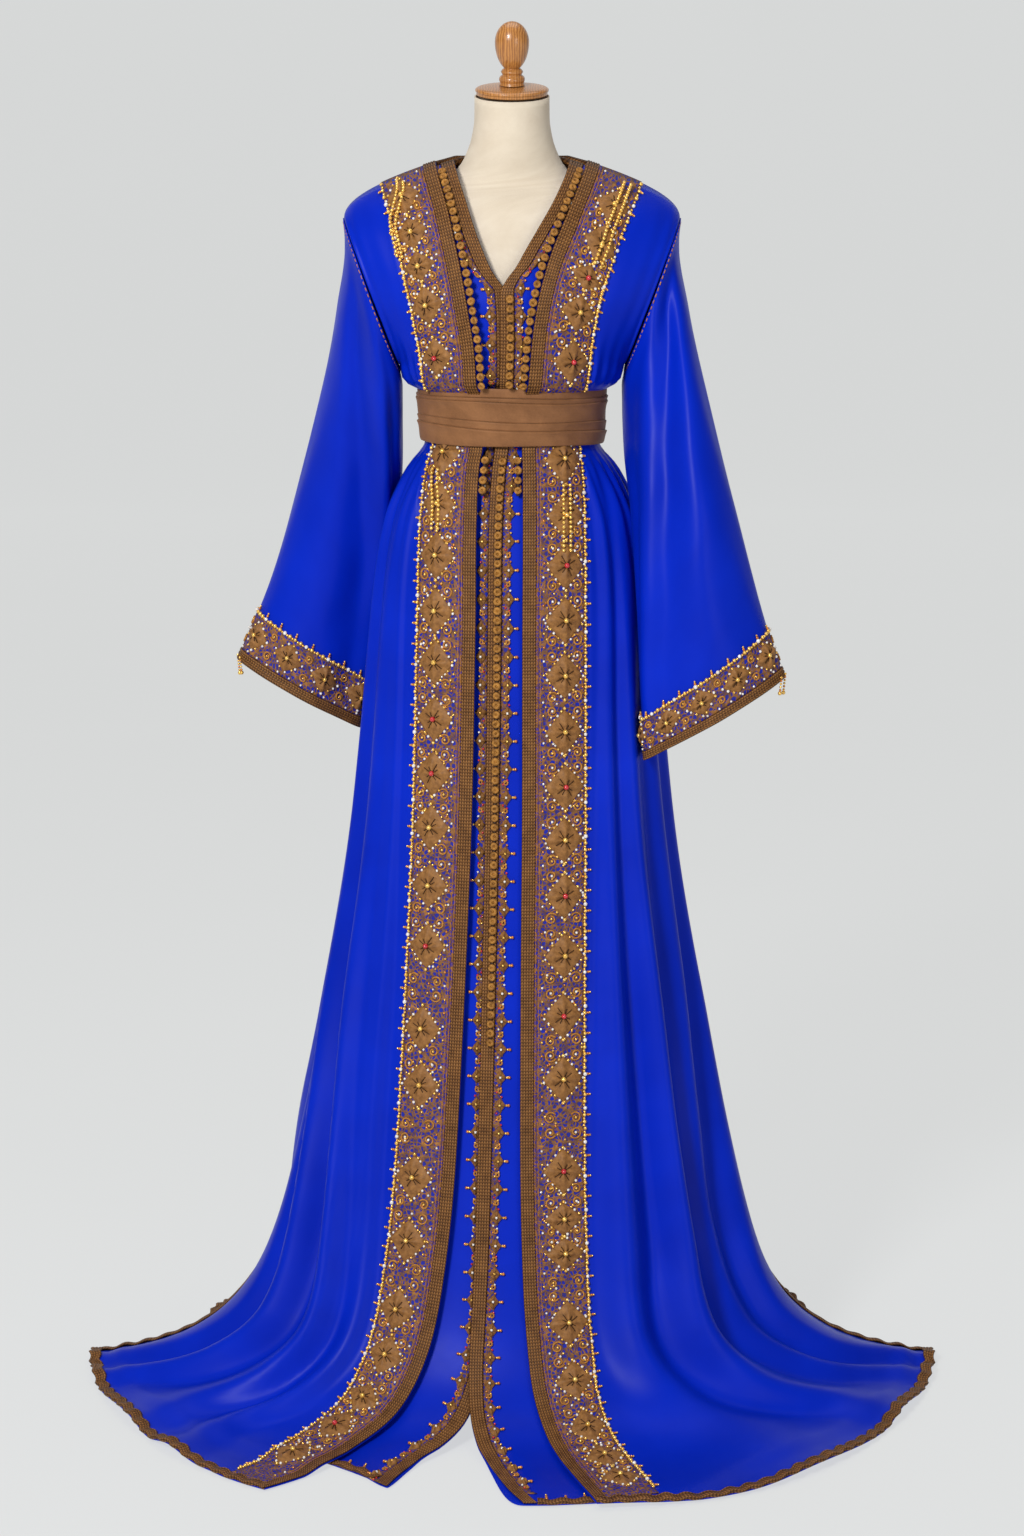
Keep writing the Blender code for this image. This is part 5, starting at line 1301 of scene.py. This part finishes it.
def build_hem_trims(cloth):
    for side in SIGN:
        hem = corner_fall(side)
        turn, fall = front_places(side, [BAND_SHEET], [1.0], rows_down(80, 11, hem, SLIT_TOP))
        slit_turn, slit_fall = turn[:, 1], fall[:, 1]
        corner = float(front_place(side, 0.0, hem)[0])
        hem_turn = np.linspace(slit_turn[-1], corner, 260)[1:]
        path = trim_path(robe_front, np.concatenate([slit_turn, hem_turn]),
                         np.concatenate([slit_fall, hem_fall(hem_turn)]), 0.0035)
        points, places = edge_trim(robe_front, False, path, -SIGN[side])
        trim = sheet("hem_braid_" + side, points, TRIM_WALL, cloth, places=places)
        ride(trim, "braid", "hem_trim_" + side)
    nominal = rows_down(80, 11, float(hem_fall(90.0)), SLIT_TOP)
    outer = 90.0 - seam_turn(nominal)
    hem_turn = np.linspace(-outer[-1], outer[-1], 500)[1:-1]
    path = trim_path(robe_rear, np.concatenate([-outer, hem_turn, outer[::-1]]),
                     np.concatenate([nominal, hem_fall(hem_turn), nominal[::-1]]), 0.0042)
    points, places = edge_trim(robe_rear, True, path, 1.0)
    trim = sheet("hem_braid_back", points, TRIM_WALL, cloth, places=places)
    ride(trim, "braid", "hem_trim_back")
    for side, sign in SIGN.items():
        start = float(under_place(side, UNDER_BRAID_WIDTH, 1.765)[0])
        turn = np.linspace(start, sign * 89.0, 400)
        path = trim_path(under_sheet(side), turn, under_hem_fall(turn) - 0.0005, 0.0040)
        points, places = edge_trim(under_sheet(side), False, path, sign, 0.0125, 0.0008)
        trim = sheet("inner_hem_braid_" + side, points, TRIM_WALL, cloth, places=places)
        ride(trim, "braid", "under_hem_trim_" + side)


# --- lace, flowers, cords and beads ----------------------------------------------------------------
def build_laces(net):
    for side in SIGN:
        nominal = rows_down(215, 12, corner_fall(side) - 0.016)
        across = np.linspace(BRAID_WIDTH + GAP, BAND_WIDTH, 14)
        grid = on_band(side)(across[None, :], nominal[:, None], LACE_LIFT)
        places = trim_places(across, nominal)
        ride(sheet("lace_" + side, grid, LACE_WALL, net, places=places), "lace", "embroidery_" + side)
        nominal = np.arange(SHOULDER_FALL, 1.735, 0.0035)
        phase = (nominal / UNDER_MOTIF_PITCH) % 1.0
        width = 0.0065 + 0.0075 * (1 - np.abs(2 * phase - 1))
        across = UNDER_BRAID_WIDTH + GAP + width[:, None] * np.linspace(0.0, 1.0, 5)[None, :]
        grid = on_under(side)(across, nominal[:, None], 0.0015)
        places = np.stack(np.broadcast_arrays(across, nominal[:, None]), -1)
        narrow = sheet("inner_lace_" + side, grid, LACE_WALL, net, places=places)
        ride(narrow, "lace", "under_lace_" + side)


def diamond_reach(angle, half_u, half_v):
    """Distance from a flower's centre to its edge: a diamond with slightly swollen sides."""
    power = 1.06
    across, along = np.abs(np.cos(angle) / half_u), np.abs(np.sin(angle) / half_v)
    return (across**power + along**power) ** (-1 / power)


def add_flower(piles, at, u, v, half_u, half_v, random):
    """A gathered satin diamond: domed, ridged along its axes, with valleys between, where larger flowers get
    dark tubes of painted crease shade.
    """
    sides = 32
    small = half_u < SMALL_FLOWER
    radii = np.array(SMALL_PETAL_RINGS if small else PETAL_RINGS)
    angle = np.arange(sides) * 2 * math.pi / sides
    skew = random.uniform(-0.08, 0.08)
    reach = diamond_reach(angle, half_u, half_v) * (1 + random.uniform(-0.03, 0.03, sides))
    r = radii[1:, None]
    cross = np.abs(np.cos(2 * (angle + skew)))[None, :] ** 2.0
    gathers = np.abs(np.cos(4 * (angle + skew)))[None, :] ** 0.7
    dome = 0.0030 * (1 - r**2.4) + 0.0008
    crease = 0.0034 * (cross - 0.45) + 0.0012 * (gathers - 0.5)
    height = dome + crease * np.sin(np.pi * np.clip(0.12 + 0.93 * r, 0, 1)) ** 0.8
    height[-1] = 0.0
    du = r * reach[None, :] * np.cos(angle)[None, :]
    dv = r * reach[None, :] * np.sin(angle)[None, :]
    points = at(u + du, v + dv, PETAL_FOOT + height)
    centre = at(u, v, PETAL_FOOT + 0.0034).reshape(1, 3)
    row, col = grid_corners(len(radii) - 1, sides, True)
    j = np.arange(sides)
    fan = np.stack([np.full(sides, (len(radii) - 1) * sides), j, (j + 1) % sides], -1)
    faces = np.concatenate([halves(row * sides + col % sides), fan])
    piles["petals"].add(np.concatenate([points.reshape(-1, 3), centre]), faces)
    if not small:
        add_painted_crease_shade(piles["creases"], at, u, v, half_u, half_v, skew)


def add_painted_crease_shade(creases, at, u, v, half_u, half_v, skew):
    """Painted crease shade: two thin dark tubes, a long and a short one, in each of a flower's four valleys.
    """
    run = np.linspace(0.12, 0.66, 6)
    high = 0.0029 + 0.0030 * (1 - run**2.4) + 0.0002 * np.sin(np.pi * run)
    for valley in (45.0, 135.0, 225.0, 315.0):
        for lean, share in ((14.0, 1.0), (-14.0, 0.72)):
            way = math.radians(valley + lean) - skew
            far = diamond_reach(way, half_u, half_v) * share
            path = at(u + run * far * math.cos(way), v + run * far * math.sin(way), high)
            add_tube(creases, path, 0.00055, 4)


def add_outline(scatter, u, v, half_u, half_v, pitch, random):
    """Small beads in turn white and gold round a flower."""
    angle = np.linspace(0, 2 * math.pi, 400)
    reach = diamond_reach(angle, half_u + 0.0015, half_v + 0.0015)
    line = np.stack([reach * np.cos(angle), reach * np.sin(angle)], -1)
    length = run_along(line)
    count = max(8, int(length[-1] / pitch))
    for k in range(count):
        here = length[-1] * (k + random.uniform(-0.2, 0.2)) / count % length[-1]
        du, dv = np.interp(here, length, line[:, 0]), np.interp(here, length, line[:, 1])
        colour = "gold" if k % 2 else "white"
        scatter.bead(colour, u + du, v + dv, 0.0032, random.uniform(0.0015, 0.0020))


def add_scroll(cords, at, u, v, size, turn_u, turn_v):
    """A C-scroll of couched cord, curling in at both ends."""
    t = np.linspace(0, 1, 20)
    angle = math.radians(-150) + math.radians(420) * t
    radius = size * (1 - 0.62 * t)
    du = turn_u * radius * np.cos(angle)
    dv = turn_v * radius * np.sin(angle)
    path = at(u + du, v + dv, np.full_like(t, 0.0027))
    add_tube(cords, path, 0.00120, 5)


def build_band_ornament(piles, random):
    """The beaded band of each front of the robe."""
    for side, listed in (("left", LEFT_FLOWERS), ("right", RIGHT_FLOWERS)):
        at = on_band(side)
        scatter = Scatter(at, piles)
        flowers = [(float(word.strip("r")), word.endswith("r")) for word in listed.split()]
        falls = [fall for fall, _ in flowers]
        for fall, red in flowers:
            room = min(abs(fall - other) for other in falls if other != fall)
            half_v = min(FLOWER_HALF_LENGTH, room * 0.47 if room < 0.060 else FLOWER_HALF_LENGTH)
            half_u = FLOWER_HALF_WIDTH * random.uniform(0.96, 1.03)
            u = FLOWER_ACROSS + random.uniform(-0.0012, 0.0012)
            add_flower(piles, at, u, fall, half_u, half_v, random)
            add_outline(scatter, u, fall, half_u, half_v, 0.0074, random)
            scatter.bead("red" if red else "gold", u, fall, PETAL_FOOT + 0.0052, 0.0034, True)
            for dv in (-half_v - 0.0012, half_v + 0.0012):
                scatter.bead("gold", u, fall + dv, 0.0036, 0.0023)
        add_gap_scrolls(piles["cords"], scatter, falls, random)
        add_edge_beads(scatter, side, random)
        scatter.lay()
        add_net_threads(piles, at)
    add_strings(piles["gold"])


def add_gap_scrolls(cords, scatter, falls, random):
    """Scrolls and small beads in the corners that the diamonds leave between them."""
    for above, below in zip(falls[:-1], falls[1:]):
        middle = (above + below) / 2
        gap = below - above
        if gap < 0.03 or 0.28 < middle < 0.355:
            continue
        for turn_u in (-1.0, 1.0):
            for turn_v in (-1.0, 1.0):
                size = min(0.0074, gap * 0.115) * random.uniform(0.9, 1.1)
                u = FLOWER_ACROSS + turn_u * 0.0165
                v = middle + turn_v * size * 1.22
                add_scroll(cords, scatter.at, u, v, size, turn_u, -turn_v)
                scatter.bead("white" if turn_v > 0 else "gold", u, v, 0.0032, 0.0018)
        for k in range(16):
            u = FLOWER_ACROSS + random.uniform(-0.0255, 0.0260)
            v = middle + random.uniform(-0.5, 0.5) * gap
            near = min(abs(v - above), abs(v - below))
            on_a_flower = abs(u - FLOWER_ACROSS) / 0.0235 + near / 0.0280 < 1.08
            if not on_a_flower:
                colour = ("copper", "gold", "white", "gold")[k % 4]
                scatter.bead(colour, u, v, 0.0030, random.uniform(0.0013, 0.0018))


def add_edge_beads(scatter, side, random):
    """The band's outer edge: gold beads, small ones between, and a standing tip now and then."""
    fall = 0.006
    k = 0
    while fall < corner_fall(side) - 0.03:
        if not 0.286 < fall < 0.350:
            u = BAND_WIDTH + random.uniform(-0.0005, 0.0005)
            colour = "white" if k % 5 == 3 else "gold"
            scatter.bead(colour, u, fall, 0.0032, random.uniform(0.0024, 0.0029))
            scatter.bead("gold", u - 0.0006, fall + 0.0045, 0.0028, 0.0018)
            if k % 3 == 1:
                scatter.bead("copper", BAND_WIDTH + 0.0044, fall, 0.0028, 0.0018)
                scatter.bead("gold", BAND_WIDTH + 0.0070, fall, 0.0026, 0.0014)
            if k % 2 == 0:
                colour = ("white", "gold", "copper")[(k // 2) % 3]
                scatter.bead(colour, 0.0268 + random.uniform(-0.001, 0.001), fall, 0.0028, 0.0016)
        fall += EDGE_BEAD_PITCH
        k += 1


def add_net_threads(piles, at):
    """Two fine dotted threads and a violet one on the net border beside the braid."""
    for across, pile in ((0.0186, "orange"), (0.0206, "violet"), (0.0228, "orange")):
        for low, high in ((0.002, 0.284), (0.352, 1.74)):
            fall = np.arange(low, high, 0.0055)
            add_tube(piles[pile], at(across, fall, 0.0021), 0.00040, 3)


def add_strings(gold):
    """Double strings of gold beads: at each shoulder and over the second flower below the belt."""
    left, right = on_band("left"), on_band("right")
    curve = np.linspace(0, 1, 60)
    for shift in (0.0, 0.0092):
        u = 0.0480 + 0.0290 * ease(curve * 1.7) + shift * 0.9
        add_string(gold, left(u, 0.016 + 0.082 * curve - shift * 0.4, 0.0062))
        add_string(gold, right(0.0560 + shift * 1.15, 0.014 + 0.084 * curve, 0.0064))
        u = 0.0510 + shift + 0.006 * ease(1 - curve * 1.5)
        add_string(gold, left(u, 0.388 + 0.072 * curve, 0.0066))
        add_string(gold, right(0.0512 + shift, 0.405 + 0.080 * curve, 0.0066))


def add_string(gold, path):
    length = run_along(path)
    at = np.linspace(0, length[-1], int(length[-1] / 0.0052))
    centres = np.stack([np.interp(at, length, path[:, axis]) for axis in range(3)], -1)
    add_beads(gold, centres, 0.0025)


def build_under_ornament(piles, random):
    """A small flower with a tip, a scroll and loose beads on each point of the narrow lace."""
    u = UNDER_BRAID_WIDTH + 0.0085
    for side in SIGN:
        at = on_under(side)
        scatter = Scatter(at, piles)
        fall = UNDER_MOTIF_PITCH / 2
        while fall < 1.72:
            if not 0.283 < fall < 0.352:
                add_flower(piles, at, u, fall, 0.0075, 0.0090, random)
                scatter.bead("white" if random.random() < 0.6 else "gold", u, fall, 0.0058, 0.0019)
                scatter.bead("gold", u + 0.0086, fall, 0.0028, 0.0017)
                scatter.bead("copper", u + 0.0112, fall, 0.0028, 0.0021)
                for du, dv in ((-0.004, 0.010), (0.001, 0.0135), (-0.004, 0.0185), (0.002, -0.0105)):
                    colour = ("copper", "white", "red", "gold")[random.integers(0, 4)]
                    scatter.bead(colour, u + du, fall + dv, 0.0026, 0.0015)
                add_scroll(piles["cords"], at, u - 0.001, fall + 0.0172, 0.0032, 1.0, 1.0)
            fall += UNDER_MOTIF_PITCH
        scatter.lay()


def build_hem_lace(piles):
    """Stepped points of beads above the under-dress's hem."""
    steps = (("copper", 0.016, 0.0022), ("orange", 0.022, 0.0018), ("gold", 0.028, 0.0014))
    for side, sign in SIGN.items():
        start = float(under_place(side, 0.030, 1.74)[0])
        for k in range(9):
            turn = start + sign * (2.4 * k + 1.0)
            for name, reach, radius in steps[:2] if k % 2 else steps:
                fall = float(under_hem_fall(turn)) - reach
                where = raised(under_sheet(side), np.array([turn]), np.array([fall]), False, 0.0022)
                add_beads(piles[name], where, radius)


def build_cuffs(net, cloth, piles, random):
    angle = np.arange(120) * 3.0
    for side, table in SLEEVES.items():
        up = np.linspace(CUFF_TOP, CUFF_BRAID_WIDTH - 0.0015, 9)
        grid = sleeve(table, angle[None, :], 1 - up[:, None] / SLEEVE_LENGTH, LACE_LIFT)
        ride(sheet("cuff_net_" + side, grid, LACE_WALL, net, closed=True), "lace", "cuff_lace_" + side)
        offsets, ribs = ribbed(CUFF_BRAID_WIDTH - GAP, 3)
        up = (CUFF_BRAID_WIDTH - GAP) - offsets
        grid = sleeve(table, angle[None, :], 1 - up[:, None] / SLEEVE_LENGTH, BRAID_LIFT + ribs[:, None])
        places = cloth_places(grid, True)[..., ::-1]
        obj = sheet("cuff_braid_%s_ribs" % side, grid, TRIM_WALL, cloth, closed=True, places=places)
        ride(obj, "braid", "cuff_braid_" + side)
        scatter = Scatter(on_cuff(table), piles)
        girth = cuff_girth(table)
        add_cuff_flowers(piles, scatter, girth, random)
        add_cuff_edge(scatter, girth, random)
        scatter.lay()
        add_tassels(piles, table, SIGN[side])


def add_cuff_flowers(piles, scatter, girth, random):
    middle = CUFF_BRAID_WIDTH + CUFF_LACE_WIDTH / 2
    count = int(girth / CUFF_LACE_WIDTH)
    for k in range(count):
        around = girth * (k + 0.5) / count
        add_flower(piles, scatter.at, around, middle, 0.0205, 0.0190, random)
        add_outline(scatter, around, middle, 0.0205, 0.0190, 0.0092, random)
        scatter.bead("gold", around, middle, 0.0071, 0.0029, True)
        between = around + girth / count / 2
        for turn in (-1.0, 1.0):
            v = middle + turn * 0.0135
            add_scroll(piles["cords"], scatter.at, between, v, 0.0058, turn, turn)
            scatter.bead("gold", between, v, 0.0030, 0.0014)


def add_cuff_edge(scatter, girth, random):
    """Beads and tips along the top of a cuff's lace, and small beads along its braid."""
    for k in range(int(girth / EDGE_BEAD_PITCH)):
        around = EDGE_BEAD_PITCH * k
        colour = "gold" if k % 4 else "white"
        scatter.bead(colour, around, CUFF_TOP, 0.0032, random.uniform(0.0025, 0.0030))
        scatter.bead("gold", around + 0.0042, CUFF_TOP - 0.0008, 0.0028, 0.0017)
        if k % 3 == 1:
            scatter.bead("copper", around, CUFF_TOP + 0.0044, 0.0028, 0.0019)
            scatter.bead("gold", around, CUFF_TOP + 0.0074, 0.0028, 0.0014)
        if k % 2:
            scatter.bead("white", around, CUFF_BRAID_WIDTH + 0.003, 0.0028, 0.0016)


def add_tassels(piles, table, sign):
    """Two short strings of beads that hang from the outer corner of a cuff."""
    pitch = 0.0040
    for angle, length in ((8.0, 0.030), (20.0, 0.024)):
        top = sleeve(table, np.array([angle]), np.array([0.985]), 0.0045)[0]
        count = int(length / pitch)
        for n in range(count):
            centre = top + np.array([-sign * 0.0004 * n + sign * 0.001, -0.001, -0.004 - pitch * n])
            radius = 0.0028 if n == count - 1 else 0.0017
            add_beads(piles["copper" if n % 3 == 1 else "gold"], centre, radius)


# --- knots -----------------------------------------------------------------------------------------
def ring_template():
    """Points and triangles of one knot: a flattened ring round a small ball."""
    around, tube = 14, 7
    a, b = np.meshgrid(np.arange(around) * 2 * math.pi / around, np.arange(tube) * 2 * math.pi / tube,
                       indexing="ij")
    radius = 0.0031 + 0.0021 * np.cos(b)
    points = np.stack([radius * np.cos(a), radius * np.sin(a), 0.0022 * np.sin(b)], -1).reshape(-1, 3)
    i, j = np.meshgrid(np.arange(around), np.arange(tube), indexing="ij")
    i, j = i.ravel(), j.ravel()
    next_i, next_j = (i + 1) % around, (j + 1) % tube
    quads = np.stack([i * tube + j, next_i * tube + j, next_i * tube + next_j, i * tube + next_j], -1)
    middle = BEAD_POINTS * np.array([0.0013, 0.0013, 0.0012])
    return np.concatenate([points, middle]), np.concatenate([halves(quads), BEAD_FACES + len(points)])


KNOT_POINTS, KNOT_FACES = ring_template()


def add_knots(pile, dark, at, across, low, high, height, random):
    """A row of knots along a line of a surface, over a near-black tube that paints shade in the gaps between
    them.
    """
    fine = np.linspace(low, high, 400)
    length = run_along(at(np.full_like(fine, across), fine, height))
    count = int(length[-1] / KNOT_PITCH)
    across_one = np.array([across])
    for k in range(count):
        fall = np.array([float(np.interp(length[-1] * (k + 0.5) / count, length, fine))])
        centre = at(across_one, fall, height)[0]
        over = at(across_one, fall, height + 0.001)[0]
        ahead = at(across_one, fall + 0.002, height)[0]
        lift = unit(over - centre + random.uniform(-0.00022, 0.00022, 3))
        along = unit(ahead - centre)
        along = unit(along - lift * along.dot(lift))
        size = random.uniform(0.94, 1.06)
        pile.add((KNOT_POINTS * size) @ np.stack([np.cross(along, lift), along, lift]) + centre,
                 KNOT_FACES)
    # Painted shade: a near-black tube under the knots, seen in the gaps between them.
    add_tube(dark, at(np.full(160, across), np.linspace(low, high, 160), height - 0.0018), 0.0022, 6)


def build_knots(silk, dark, random):
    """Rows of knots: beside the robe's edges at chest and waist, and down the under-dress's front."""
    rows = [("%s_%s" % (place, side), on_band(side), -0.0058, low, high, 0.0030)
            for side in SIGN for place, low, high in (("chest", 0.012, 0.277), ("waist", 0.368, 0.415))]
    rows += [(place + "_centre", on_under("right"), 0.0125, low, high, 0.0058)
             for place, low, high in (("chest", 0.165, 0.277), ("skirt", 0.368, 1.10))]
    for place, at, across, low, high, height in rows:
        pile = Pile()
        add_knots(pile, dark, at, across, low, high, height, random)
        ride(pile.build("row_of_knots_" + place, silk), "knots", "knots_" + place)


# --- dress form ------------------------------------------------------------------------------------
def form_ring(z, angle):
    """Points of the dress form at heights and at angles round it, in degrees."""
    at = {name: smooth(z, FORM_RINGS["z"], FORM_RINGS[name]) for name in FORM_RINGS}
    turn = np.radians(angle)
    y = np.where(np.sin(turn) > 0, at["back"], at["front"]) * np.sin(turn)
    return np.stack([at["side"] * np.cos(turn), y + at["middle"], z + at["lean"] * y], -1)


def build_form(cover, beech, metal):
    grid = form_ring(np.linspace(1.0, 1.654, 80)[:, None], (np.arange(60) * 6.0)[None, :])
    torso = sheet("linen_torso", grid[::-1], 0.0016, cover, closed=True, offset=-1.0)
    ride(torso, "linen", "form_torso")
    seams = Pile()
    for turn in (270.0, 90.0):
        add_tube(seams, form_ring(np.linspace(1.05, 1.650, 90), turn), 0.0006, 5, (1.0, 0.0, 0.0))
    ring = np.linspace(0.0, 360.0, 90)
    level = 1.583 + 0.006 * np.cos(np.radians(ring - 90))
    add_tube(seams, form_ring(level, ring), 0.0005, 5, (0.0, 0.0, 1.0))
    ride(seams.build("linen_seams", cover), "linen")
    cap = turned("neck_cap", rounded(CAP_PROFILE), beech)
    egg = turned("egg_finial", rounded(egg_profile(), 3, 0.4), beech)
    for obj, node in ((cap, "form_neck_cap"), (egg, "form_finial")):
        obj.location = CAP_CENTRE
        obj.rotation_euler = (CAP_LEAN, 0.0, 0.0)
        ride(obj, "wood", node)
    for name in ("form_pole", "form_base"):
        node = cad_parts[name]
        node.data.materials.clear()
        node.data.materials.append(metal)


def egg_profile():
    """The finial from its tip down: an egg, widest above its middle, on its turned collar."""
    steps = 22
    centre = EGG_FOOT + (EGG_TOP - EGG_FOOT) * 0.56
    points = []
    for k in range(steps):
        angle = math.pi * 0.86 * k / (steps - 1)
        reach = EGG_TOP - centre if angle < math.pi / 2 else (centre - EGG_FOOT) / 0.905
        points.append((EGG_RADIUS * math.sin(angle), centre + reach * math.cos(angle)))
    return tuple(points) + COLLAR_PROFILE


# --- floor, light and camera -----------------------------------------------------------------------
def build_floor():
    """A pale sweep: flat floor that curves up into a backdrop."""
    half_width, near, flat, bend, height = 16.0, -16.0, 11.0, 3.0, 12.0
    profile = [(near, 0.0), (flat, 0.0)]
    for k in range(1, 17):
        angle = math.pi / 2 * k / 16
        profile.append((flat + bend * math.sin(angle), bend * (1 - math.cos(angle))))
    profile.append((flat + bend, height))
    points = [(x, y, z - 0.0002) for y, z in profile for x in (-half_width, half_width)]
    faces = [(2 * k, 2 * k + 1, 2 * k + 3, 2 * k + 2) for k in range(len(profile) - 1)]
    floor = new_object("studio_sweep", points, faces, paper())


def aimed(obj, place, target):
    """Links a lamp or a camera into the scene, at a place and facing a target."""
    obj.location = place
    obj.rotation_euler = (Vector(target) - Vector(place)).to_track_quat("-Z", "Y").to_euler()
    bpy.context.scene.collection.objects.link(obj)
    return obj


def area_light(name, place, target, size, power):
    data = bpy.data.lights.new(name, "AREA")
    data.shape = "RECTANGLE"
    data.size = size[0]
    data.size_y = size[1]
    data.energy = power
    aimed(bpy.data.objects.new(name, data), place, target)


def build_light():
    bpy.context.scene.view_settings.view_transform = "Standard"
    world = bpy.data.worlds.new("studio_air")
    world.use_nodes = True
    air = world.node_tree.nodes["Background"]
    air.inputs["Color"].default_value = (0.98, 0.99, 1.0, 1.0)
    air.inputs["Strength"].default_value = 0.20
    bpy.context.scene.world = world
    area_light("key", (-1.9, -4.2, 3.3), (0.0, 0.0, 0.9), (0.9, 1.2), 205.0)
    area_light("fill", (2.2, -4.2, 1.6), (0.0, 0.0, 0.7), (1.6, 2.2), 32.0)
    area_light("top", (0.0, 0.4, 4.4), (0.0, 0.0, 0.8), (3.0, 2.4), 40.0)


def build_camera():
    data = bpy.data.cameras.new("camera")
    data.lens = 84.14
    data.sensor_width = 36.0
    data.clip_end = 60.0
    camera = aimed(bpy.data.objects.new("camera", data), (0.0026, -4.6, 1.6), (0.0, 0.0, 0.795))
    bpy.context.scene.camera = camera


def build_looks(piles):
    """Makes the ornaments' piles into pieces, each in its own colour of thread or bead; the creases and dark
    piles are near-black tubes of painted shade.
    """
    looks = {
        "petals": thread("brown_satin_petals", (0.150, 0.062, 0.016), (0.360, 0.165, 0.048), 0.004, 0.15),
        "cords": thread("orange_brown_cord", (0.280, 0.105, 0.018), (0.580, 0.260, 0.050)),
        "gold": bead("gold_bead", (0.85, 0.44, 0.060), (1.0, 0.68, 0.18), 0.55, (0.16, 0.30)),
        "white": bead("pearl_bead", (0.68, 0.62, 0.56), (0.90, 0.87, 0.82), 0.0, (0.12, 0.25)),
        "copper": bead("copper_bead", (0.48, 0.130, 0.018), (0.85, 0.33, 0.05), 0.45, (0.20, 0.34)),
        "red": bead("red_bead", (0.42, 0.012, 0.020), (0.66, 0.035, 0.045), 0.0, (0.12, 0.24)),
        "orange": thread("orange_thread", (0.34, 0.115, 0.022), (0.66, 0.28, 0.06)),
        "violet": thread("violet_thread", (0.060, 0.020, 0.110), (0.160, 0.060, 0.200)),
        # Painted shade: near-black tubes in the flowers' valleys.
        "creases": thread("painted_crease_shade", (0.030, 0.011, 0.004), (0.070, 0.028, 0.009)),
        # Painted shade: a near-black tube in the gaps between the knots.
        "dark": thread("dark_cord", (0.018, 0.009, 0.006), (0.060, 0.028, 0.014)),
    }
    for name, material in looks.items():
        ride(piles[name].build("ornament_" + name, material), "lace")


def main():
    random = np.random.default_rng(7)
    cloth, trim, net = satin(), braid(), lace()
    piles = {name: Pile() for name in ("petals", "creases", "cords", "gold", "white", "copper", "red",
                                       "orange", "violet", "dark")}
    build_fronts(cloth)
    build_robe_back(cloth)
    build_under(cloth)
    build_sleeves(cloth, piles["orange"])
    build_belt(sash())
    build_braids(trim)
    build_hem_trims(trim)
    build_laces(net)
    build_band_ornament(piles, random)
    build_under_ornament(piles, random)
    build_hem_lace(piles)
    build_cuffs(net, trim, piles, random)
    silk = thread("golden_silk", (0.120, 0.044, 0.008), (0.540, 0.250, 0.050))
    build_knots(silk, piles["dark"], random)
    build_looks(piles)
    build_form(linen(), wood(), steel())
    build_floor()
    build_light()
    build_camera()


main()
